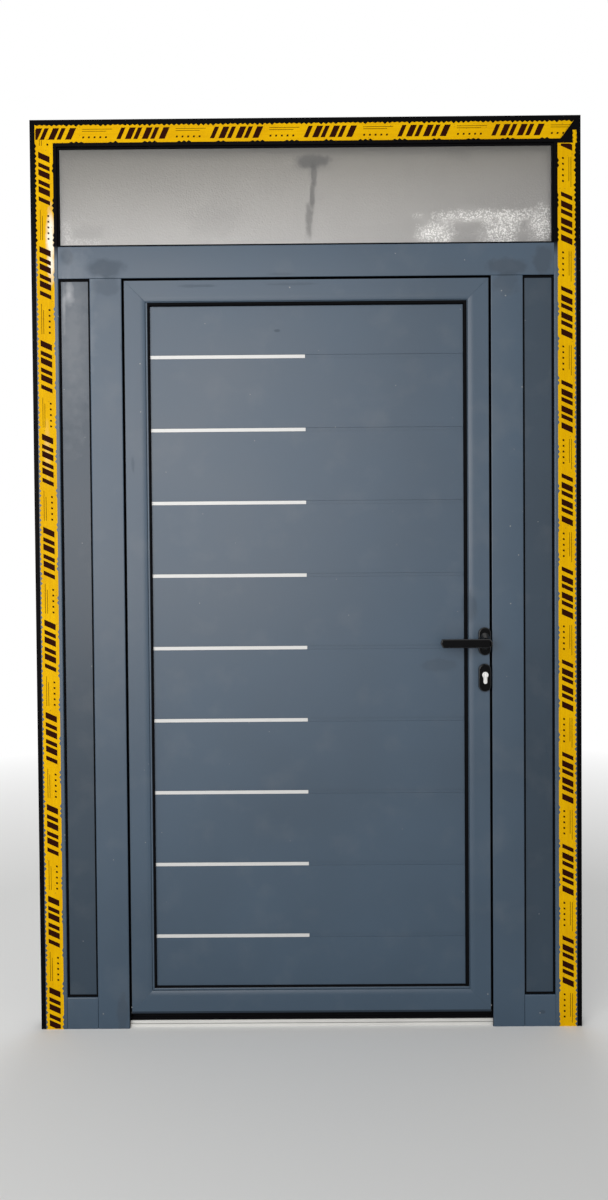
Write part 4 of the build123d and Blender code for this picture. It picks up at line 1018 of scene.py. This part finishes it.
@dataclass
class FilmStrip:
    """One strip of printed protective film, with torn teeth on its outer edge."""

    name: str
    node: str
    outer_side: int
    upright: bool
    first_mark: float
    seed: int
    under: float = 0.0
    torn: tuple[float, float, float, float] | None = None
    slanted: float = 0.0
    width: float = 49.0 * MM
    tooth_pitch: float = 13.4 * MM
    tooth_depth: float = 5.0 * MM
    notch_pitch: float = 98.0 * MM
    bite_range: tuple[float, float] = (0.35, 1.25)
    notch_depth: float = 5.0 * MM
    notch_length: float = 34.84 * MM
    notch_range: tuple[float, float] = (0.5, 1.0)
    rows: int = 8
    film: float = 0.15 * MM
    ripple: float = 0.12 * MM
    long_wave: float = 61.0 * MM
    short_wave: float = 17.0 * MM
    mark_pitch: float = 255.0 * MM
    mark_length: float = 142.0 * MM
    mark_height: float = 31.0 * MM
    bars: int = 6
    bar_shares: tuple[float, float] = (0.5, 0.72)
    slant: float = 14.0 * MM
    line_length: float = 82.0 * MM
    tail_gap: float = 20.0 * MM
    lines: tuple[tuple[float, float], ...] = ((0.86, 1.0), (0.68, 0.8))
    line_height: float = 1.2 * MM
    dot: float = 5.0 * MM
    dot_count: int = 5
    dot_pitch: float = 15.5 * MM
    dot_rise: float = 3.0 * MM
    dot_lean: float = 1.0 * MM
    print_depth: float = 0.04 * MM
    end_gap: float = 2.0 * MM
    finish: FilmFinish = FILM

    def _limits(self) -> tuple[float, float, float, float, float]:
        """The strip's start and end along its run, its inner and outer edge, and the wall's plane."""
        low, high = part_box(self.node)
        run = (low.z, high.z) if self.upright else (low.x, high.x)
        across = (low.x, high.x) if self.upright else (low.z, high.z)
        inner = across[0] if self.outer_side > 0 else across[1]
        end = self.torn[0] if self.torn else run[1] + self.under
        return run[0], end, inner, inner + self.outer_side * self.width, high.y

    def _point(self, along: float, across: float, depth: float) -> Vector:
        """A point of the strip in the door's own frame."""
        return Vector((across, depth, along)) if self.upright else Vector((along, depth, across))

    def _sheet(self, start: float, end: float, inner: float, outer: float, wall: float) -> Piece:
        """A stretch of film: a fine grid with toothed edges and ripples, given its thickness.

        Args:
            start: its lower or left end.
            end: its other end.
            inner: its edge towards the door.
            outer: its torn edge.
            wall: the depth of the face that it lies on.

        Returns:
            The film.
        """
        columns = 2 * round((end - start) / self.tooth_pitch)
        bpy.ops.object.select_all(action="DESELECT")
        bpy.ops.mesh.primitive_grid_add(x_subdivisions=columns, y_subdivisions=self.rows, size=1)
        piece = bpy.context.active_object
        piece.name = self.name
        chance = random.Random(self.seed)
        bites = [self.tooth_depth * chance.uniform(*self.bite_range) for _ in range(columns + 1)]
        for vertex in piece.data.vertices:
            along = start + (vertex.co.x + 0.5) * (end - start)
            share = vertex.co.y + 0.5
            across = inner + share * (outer - inner)
            column = round((vertex.co.x + 0.5) * columns)
            if share > 1 - 0.5 / self.rows and column % 2:
                across -= math.copysign(bites[column], outer - inner)
            notch = (along - start) % self.notch_pitch
            if share < 0.5 / self.rows and column % 2 and notch < self.notch_length:
                across += math.copysign(self.notch_depth * chance.uniform(*self.notch_range), outer - inner)
            wave = math.sin(along / self.long_wave) * math.sin(along / self.short_wave + 9 * share)
            vertex.co = self._point(along, across, wall - self.ripple * (1 + wave) / 2)
        with Bench.editing(piece, whole=True):
            bpy.ops.mesh.normals_make_consistent(inside=False)
        outward = piece.data.polygons[0].normal.y < 0
        Bench.apply(piece, "SOLIDIFY", thickness=self.film, offset=1.0 if outward else -1.0)
        Bench.take(piece)
        bpy.ops.object.shade_smooth_by_angle(angle=SHARP_ANGLE)
        return piece

    def _bar(self, start: float, width: float, low: float, high: float, lean: float) -> Piece:
        """One mark of the print as a thin plate in the strip's own run and width.

        Args:
            start: where it starts along the run.
            width: its size along the run.
            low: its lower edge across the film.
            high: its upper edge across the film.
            lean: how far its upper edge is moved along.

        Returns:
            The mark, lying in X and Y.
        """
        corner = Vector((start + width, high, self.print_depth))
        piece = Bench.block(self.name + "_mark", Vector((start, low, 0)), corner)
        if lean:
            with Bench.editing(piece) as mesh:
                Bench.pick_faces(mesh, lambda face: face.normal.y > END_FACE)
                bpy.ops.transform.translate(value=(lean, 0, 0))
        return piece

    def _print(self) -> Piece:
        """The printed marks: slanted bars, two fine lines and a row of dots, repeated."""
        start, end, inner, outer, wall = self._limits()
        width = abs(outer - inner)
        low = (width - self.mark_height) / 2
        pitch = (self.mark_length - self.slant) / (self.bars - 0.45)
        marks = [
            self._bar(index * pitch, pitch * self.bar_shares[index % 2], low, low + self.mark_height,
                      self.slant)
            for index in range(self.bars)
        ]
        tail = self.mark_length + self.tail_gap
        marks += [
            self._bar(tail, self.line_length * share, low + level * self.mark_height,
                      low + level * self.mark_height + self.line_height, 0)
            for level, share in self.lines
        ]
        marks += [
            self._bar(tail + index * self.dot_pitch, self.dot, low + self.dot_rise,
                      low + self.dot_rise + self.dot, self.dot_lean)
            for index in range(self.dot_count)
        ]
        group = Bench.join(marks, self.name + "_print")
        count = math.ceil((end - start) / self.mark_pitch) + 1
        Bench.apply(group, "ARRAY", count=count, use_relative_offset=False, use_constant_offset=True,
                    constant_offset_displace=(self.mark_pitch, 0, 0))
        self._lay(group, wall)
        return group

    def _lay(self, group: Piece, wall: float) -> None:
        """Turns the flat row of marks onto the film and trims it at the film's ends."""
        start, end, inner, outer, _ = self._limits()
        face = wall - self.ripple - self.film - self.print_depth
        low_side = min(inner, outer)
        high_side = max(inner, outer)
        for vertex in group.data.vertices:
            along, across, depth = vertex.co
            if not self.upright:
                vertex.co = Vector((start + self.first_mark + along, face + depth, low_side + across))
            elif self.outer_side < 0:
                vertex.co = Vector((high_side - across, face + depth, start + self.first_mark + along))
            else:
                vertex.co = Vector((low_side + across, face + depth, end - self.first_mark - along))
        with Bench.editing(group, whole=True):
            bpy.ops.mesh.normals_make_consistent(inside=False)
        for limit, way in ((start + self.end_gap, -1), (end - self.end_gap, 1)):
            Bench.slit(group, self._point(limit, 0, 0), self._point(way, 0, 0))

    def build(self) -> None:
        """Makes the film and its print."""
        start, end, inner, outer, wall = self._limits()
        film = self._sheet(start, end, inner, outer, wall)
        if self.torn:
            film = Bench.join([film, self._sheet(*self.torn, wall)], self.name)
        marks = self._print()
        if self.slanted:
            corner = Vector((end, 0, outer))
            for piece in (film, marks):
                Bench.slit(piece, corner, (self.width, 0, -self.slanted))
        for piece, finish in ((film, self.finish), (marks, INK)):
            dress(piece, finish)
            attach(piece, Body.FRAME.value)
        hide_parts(self.node)
        LOG.info("%s with %d print faces", film.name, len(marks.data.polygons))


@dataclass
class Screws:
    """The screws of the hinges, the strike and the faceplate, with a cross recess in each head."""

    head_radius: float = 4.4 * MM
    shank_radius: float = 2.4 * MM
    core_radius: float = 1.9 * MM
    head_height: float = 2.6 * MM
    length: float = 14.0 * MM
    slot_width: float = 1.1 * MM
    slot_reach: float = 2.6 * MM
    slot_depth: float = 1.5 * MM
    thread_pitch: float = 1.6 * MM
    sides: int = 32
    shank_sides: int = 12
    dome: float = 1.4 * MM
    recess_taper: float = 0.55
    point_share: float = 0.2

    def _recess(self, piece: Piece, top: float) -> None:
        """Cuts a cross into the head's top."""
        half = self.slot_width / 2
        for reach_x, reach_y in ((self.slot_reach, half), (half, self.slot_reach)):
            cutter = Bench.block("cutter", Vector((-reach_x, -reach_y, top - self.slot_depth)),
                                 Vector((reach_x, reach_y, top + 1 * MM)))
            with Bench.editing(cutter) as mesh:
                Bench.pick_faces(mesh, lambda face: face.normal.z < -END_FACE)
                bpy.ops.transform.resize(value=(self.recess_taper, self.recess_taper, 1.0))
            Bench.cut(piece, cutter)

    def _shank(self, top: float) -> Piece:
        """The threaded shank below a head, with a point."""
        shank = Bench.rod("shank", Vector((0, 0, top - self.length)), Vector((0, 0, top)), self.core_radius,
                          self.shank_sides)
        with Bench.editing(shank) as mesh:
            Bench.pick_faces(mesh, lambda face: face.normal.z < -END_FACE)
            bpy.ops.transform.resize(value=(self.point_share, self.point_share, 1.0))
            for edge in mesh.edges:
                edge.select_set(abs(edge.verts[0].co.z - edge.verts[1].co.z) > self.length / 2)
            bpy.ops.mesh.subdivide(number_cuts=2 * int(self.length / self.thread_pitch) - 1)
        rings = sorted({round(vertex.co.z, 6) for vertex in shank.data.vertices})
        for vertex in shank.data.vertices:
            ring = min(range(len(rings)), key=lambda index: abs(rings[index] - vertex.co.z))
            if ring % 2 and 1 < ring < len(rings) - 1:
                vertex.co.xy = vertex.co.xy.normalized() * self.shank_radius
        return shank

    def pan_head(self) -> Piece:
        """A pan-head screw along Z, with its seat at Z 0 and its point down."""
        top = Vector((0, 0, self.head_height))
        head = Bench.rod("pan_head", Vector((0, 0, 0)), top, self.head_radius, self.sides)
        with Bench.editing(head) as mesh:
            Bench.pick_faces(mesh, lambda face: face.normal.z > END_FACE)
            bpy.ops.mesh.bevel(offset=self.dome, segments=4, affect="EDGES")
        self._recess(head, self.head_height)
        return Bench.join([head, self._shank(0)], "pan_screw")

    def flat_head(self) -> Piece:
        """A countersunk screw along Z, with its face at Z 0 and its point down."""
        depth = self.head_radius - self.shank_radius
        head = Bench.rod("flat_head", Vector((0, 0, -depth)), Vector((0, 0, 0)), self.head_radius, self.sides)
        with Bench.editing(head) as mesh:
            Bench.pick_faces(mesh, lambda face: face.normal.z < -END_FACE)
            share = self.shank_radius / self.head_radius
            bpy.ops.transform.resize(value=(share, share, 1.0))
        self._recess(head, 0)
        return Bench.join([head, self._shank(-depth)], "flat_screw")

    @staticmethod
    def places(node: str) -> list[tuple[Vector, Vector]]:
        """The lowest and highest corner of each screw in a CAD node."""
        solid = Bench.merged_copy(node, node + "_probe")
        with Bench.editing(solid, whole=True):
            bpy.ops.mesh.separate(type="LOOSE")
        parts = list(bpy.context.selected_objects)
        boxes = []
        for part in parts:
            points = [vertex.co for vertex in part.data.vertices]
            low = Vector(tuple(min(point[axis] for point in points) for axis in range(3)))
            high = Vector(tuple(max(point[axis] for point in points) for axis in range(3)))
            boxes.append((low, high))
            bpy.data.objects.remove(part)
        return sorted(boxes, key=lambda box: (box[0].x, box[0].z))

    def build(self, node: str, body: Body) -> None:
        """Stands modelled screws in for one node of plain ones."""
        pan, flat = self.pan_head(), self.flat_head()
        chance = random.Random(len(node))
        pieces = []
        for low, high in self.places(node):
            size = high - low
            middle = (low + high) / 2
            spin = Matrix.Rotation(chance.uniform(0, math.pi), 4, "Z")
            if size.y > size.x:
                seat = Vector((middle.x, high.y - self.head_height, middle.z))
                turn = Matrix.Rotation(math.radians(-90), 4, "X")
                piece = Bench.twin(pan, "screw")
            else:
                out = 1.0 if body is Body.LEAF else -1.0
                seat = Vector((high.x if out > 0 else low.x, middle.y, middle.z))
                turn = Matrix.Rotation(math.radians(90 * out), 4, "Y")
                piece = Bench.twin(flat, "screw")
            piece.matrix_world = Matrix.Translation(seat) @ turn @ spin
            pieces.append(Bench.settle(piece))
        for pattern in (pan, flat):
            bpy.data.objects.remove(pattern)
        group = Bench.join(pieces, node + "_cross")
        Bench.take(group)
        bpy.ops.object.shade_smooth_by_angle(angle=SHARP_ANGLE)
        dress(group, STEEL)
        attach(group, body.value)
        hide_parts(node)
        LOG.info("%s holds %d screws", group.name, len(pieces))


class Carried:
    """The CAD nodes whose own form is shown, by their finish."""

    finishes = {
        BREAK: "frame_thermal_breaks frame_setting_blocks leaf_thermal_breaks leaf_setting_blocks",
        MILL: "frame_connectors leaf_corner_cleats",
        PANE: "transom_outer_pane transom_inner_pane",
        SPACER: "transom_spacer",
        SIDE_COAT: "left_side_panel right_side_panel",
        FOAM: "side_panel_cores panel_core",
        COAT: "frame_glazing_beads panel_inner_skin leaf_glazing_beads",
        # The door stops behind the gap take the gap's painted shade.
        GAP_COAT: "door_stops",
        RUBBER: "door_seal",
        STEEL: "strike_plate lock_case lock_faceplate spindle lock_follower",
        BLACK: "hinge_frame_wings hinge_pins hinge_leaf_wings",
        # The seal carrier's dark tone is painted shade under the leaf.
        CARRIER: "seal_carrier",
        NICKEL: "cylinder_body cylinder_plugs latch_bolt deadbolt",
    }

    def build(self) -> None:
        """Dresses each node."""
        for finish, nodes in self.finishes.items():
            for node in nodes.split():
                dress(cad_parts[node], finish)


@dataclass(frozen=True)
class Lamp:
    """A soft lamp: its middle, the point it faces, its size, and its glow, where 1 is a white wall."""

    name: str
    place: Point
    aim: Point
    size: tuple[float, float]
    glow: float


@dataclass
class Studio:
    """The floor, the lights, the pale surroundings and the camera."""

    image_width: int = 608
    image_height: int = 1200
    focal_pixels: float = 900.0
    sensor: float = 36.0
    eye: Point = (-3.8, -2508.4, 1235.5)
    heading: float = -0.188
    pitch: float = -1.124
    roll: float = -0.443
    floor_reach: float = 16.0
    floor_fade: tuple[float, float] = (1.6, 4.5)
    ambient: float = 0.45
    lamps: tuple[Lamp, ...] = (
        Lamp("key_lamp", (-1.8, -4.0, 2.2), (-0.5, 0.0, 1.6), (4.4, 3.1), 3.9),
        Lamp("back_lamp", (0.3, 3.4, 3.2), (0.0, 0.0, 1.3), (2.6, 2.2), 2.8),
    )

    def camera(self) -> None:
        """Stands the camera where the photograph was taken from."""
        data = bpy.data.cameras.new("photo_camera")
        data.sensor_width = self.sensor
        data.lens = self.focal_pixels * self.sensor / max(self.image_width, self.image_height)
        data.clip_start, data.clip_end = 0.05, 100.0
        camera = bpy.data.objects.new("photo_camera", data)
        bpy.context.scene.collection.objects.link(camera)
        turn = (
            Matrix.Rotation(math.radians(-self.heading), 4, "Z")
            @ Matrix.Rotation(math.radians(90 + self.pitch), 4, "X")
            @ Matrix.Rotation(math.radians(self.roll), 4, "Z")
        )
        camera.matrix_world = Matrix.Translation(Vector(self.eye) * MM) @ turn
        bpy.context.scene.camera = camera

    def floor(self) -> None:
        """Lays a plain pale floor that fades to white far from the door."""
        bpy.ops.object.select_all(action="DESELECT")
        bpy.ops.mesh.primitive_plane_add(size=self.floor_reach, location=(0, 0, 0))
        floor = bpy.context.active_object
        floor.name = "studio_floor"
        made = bpy.data.materials.new("pale_floor")
        made.use_nodes = True
        sheet = Sheet(made.node_tree)
        shader = sheet.add("BsdfPrincipled", Base_Color=(0.78, 0.78, 0.77, 1.0), Roughness=0.9)
        white = sheet.add("Emission", Color=WHITE, Strength=1.0)
        fade = sheet.span(sheet.vector("LENGTH", sheet.place()), *self.floor_fade, 0.0, 1.0)
        seen = sheet.times(fade, sheet.add("LightPath").outputs["Is Camera Ray"])
        mixed = sheet.add("MixShader")
        for index, value in enumerate((seen, shader.outputs[0], white.outputs[0])):
            sheet.feed(mixed, index, value)
        end = sheet.add("OutputMaterial")
        sheet.feed(end, "Surface", mixed.outputs[0])
        floor.data.materials.append(made)

    def surroundings(self) -> None:
        """Gives the world a soft light, and white where it is seen or mirrored."""
        world = bpy.data.worlds.new("pale_world")
        bpy.context.scene.world = world
        world.use_nodes = True
        sheet = Sheet(world.node_tree)
        rays = sheet.add("LightPath")
        seen = sheet.number("MAXIMUM", rays.outputs["Is Camera Ray"], rays.outputs["Is Glossy Ray"])
        seen = sheet.number("MAXIMUM", seen, rays.outputs["Is Transmission Ray"])
        strength = sheet.span(seen, 0.0, 1.0, self.ambient, 1.0)
        ground = sheet.add("Background", Color=WHITE)
        sheet.feed(ground, "Strength", strength)
        end = sheet.add("OutputWorld")
        sheet.feed(end, "Surface", ground.outputs[0])

    @staticmethod
    def hang(lamp: Lamp) -> None:
        """Hangs one lamp so that it faces its aim and isn't seen itself."""
        data = bpy.data.lights.new(lamp.name, "AREA")
        data.shape = "RECTANGLE"
        data.size, data.size_y = lamp.size
        data.energy = lamp.glow * math.pi * lamp.size[0] * lamp.size[1]
        hung = bpy.data.objects.new(lamp.name, data)
        bpy.context.scene.collection.objects.link(hung)
        way = Vector(lamp.aim) - Vector(lamp.place)
        hung.matrix_world = Matrix.Translation(lamp.place) @ way.to_track_quat("-Z", "Y").to_matrix().to_4x4()
        hung.visible_camera = False

    def build(self) -> None:
        """Sets up the whole studio."""
        self.camera()
        self.floor()
        self.surroundings()
        for lamp in self.lamps:
            self.hang(lamp)
        bpy.context.scene.view_settings.view_transform = "Standard"


def main() -> None:
    """Builds the studio, then every piece round the frame."""
    logging.basicConfig(level=logging.INFO, format="%(name)s: %(message)s")
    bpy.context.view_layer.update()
    Studio().build()
    Carried().build()
    Profiles().build()
    for strip in (
        FilmStrip("left_film", "left_tape", outer_side=-1, upright=True, first_mark=-27 * MM, seed=3,
                  under=12 * MM),
        FilmStrip("right_film", "right_tape", outer_side=1, upright=True, first_mark=-124 * MM, seed=5,
                  torn=(2425 * MM, 2460 * MM, 727 * MM, 740 * MM)),
        FilmStrip("head_film", "head_tape", outer_side=1, upright=False, first_mark=-32.4 * MM, seed=7,
                  slanted=37 * MM, finish=HEAD_FILM),
    ):
        strip.build()
    screws = Screws()
    screws.build("frame_screws", Body.FRAME)
    screws.build("leaf_screws", Body.LEAF)


if __name__ == "__main__":
    main()
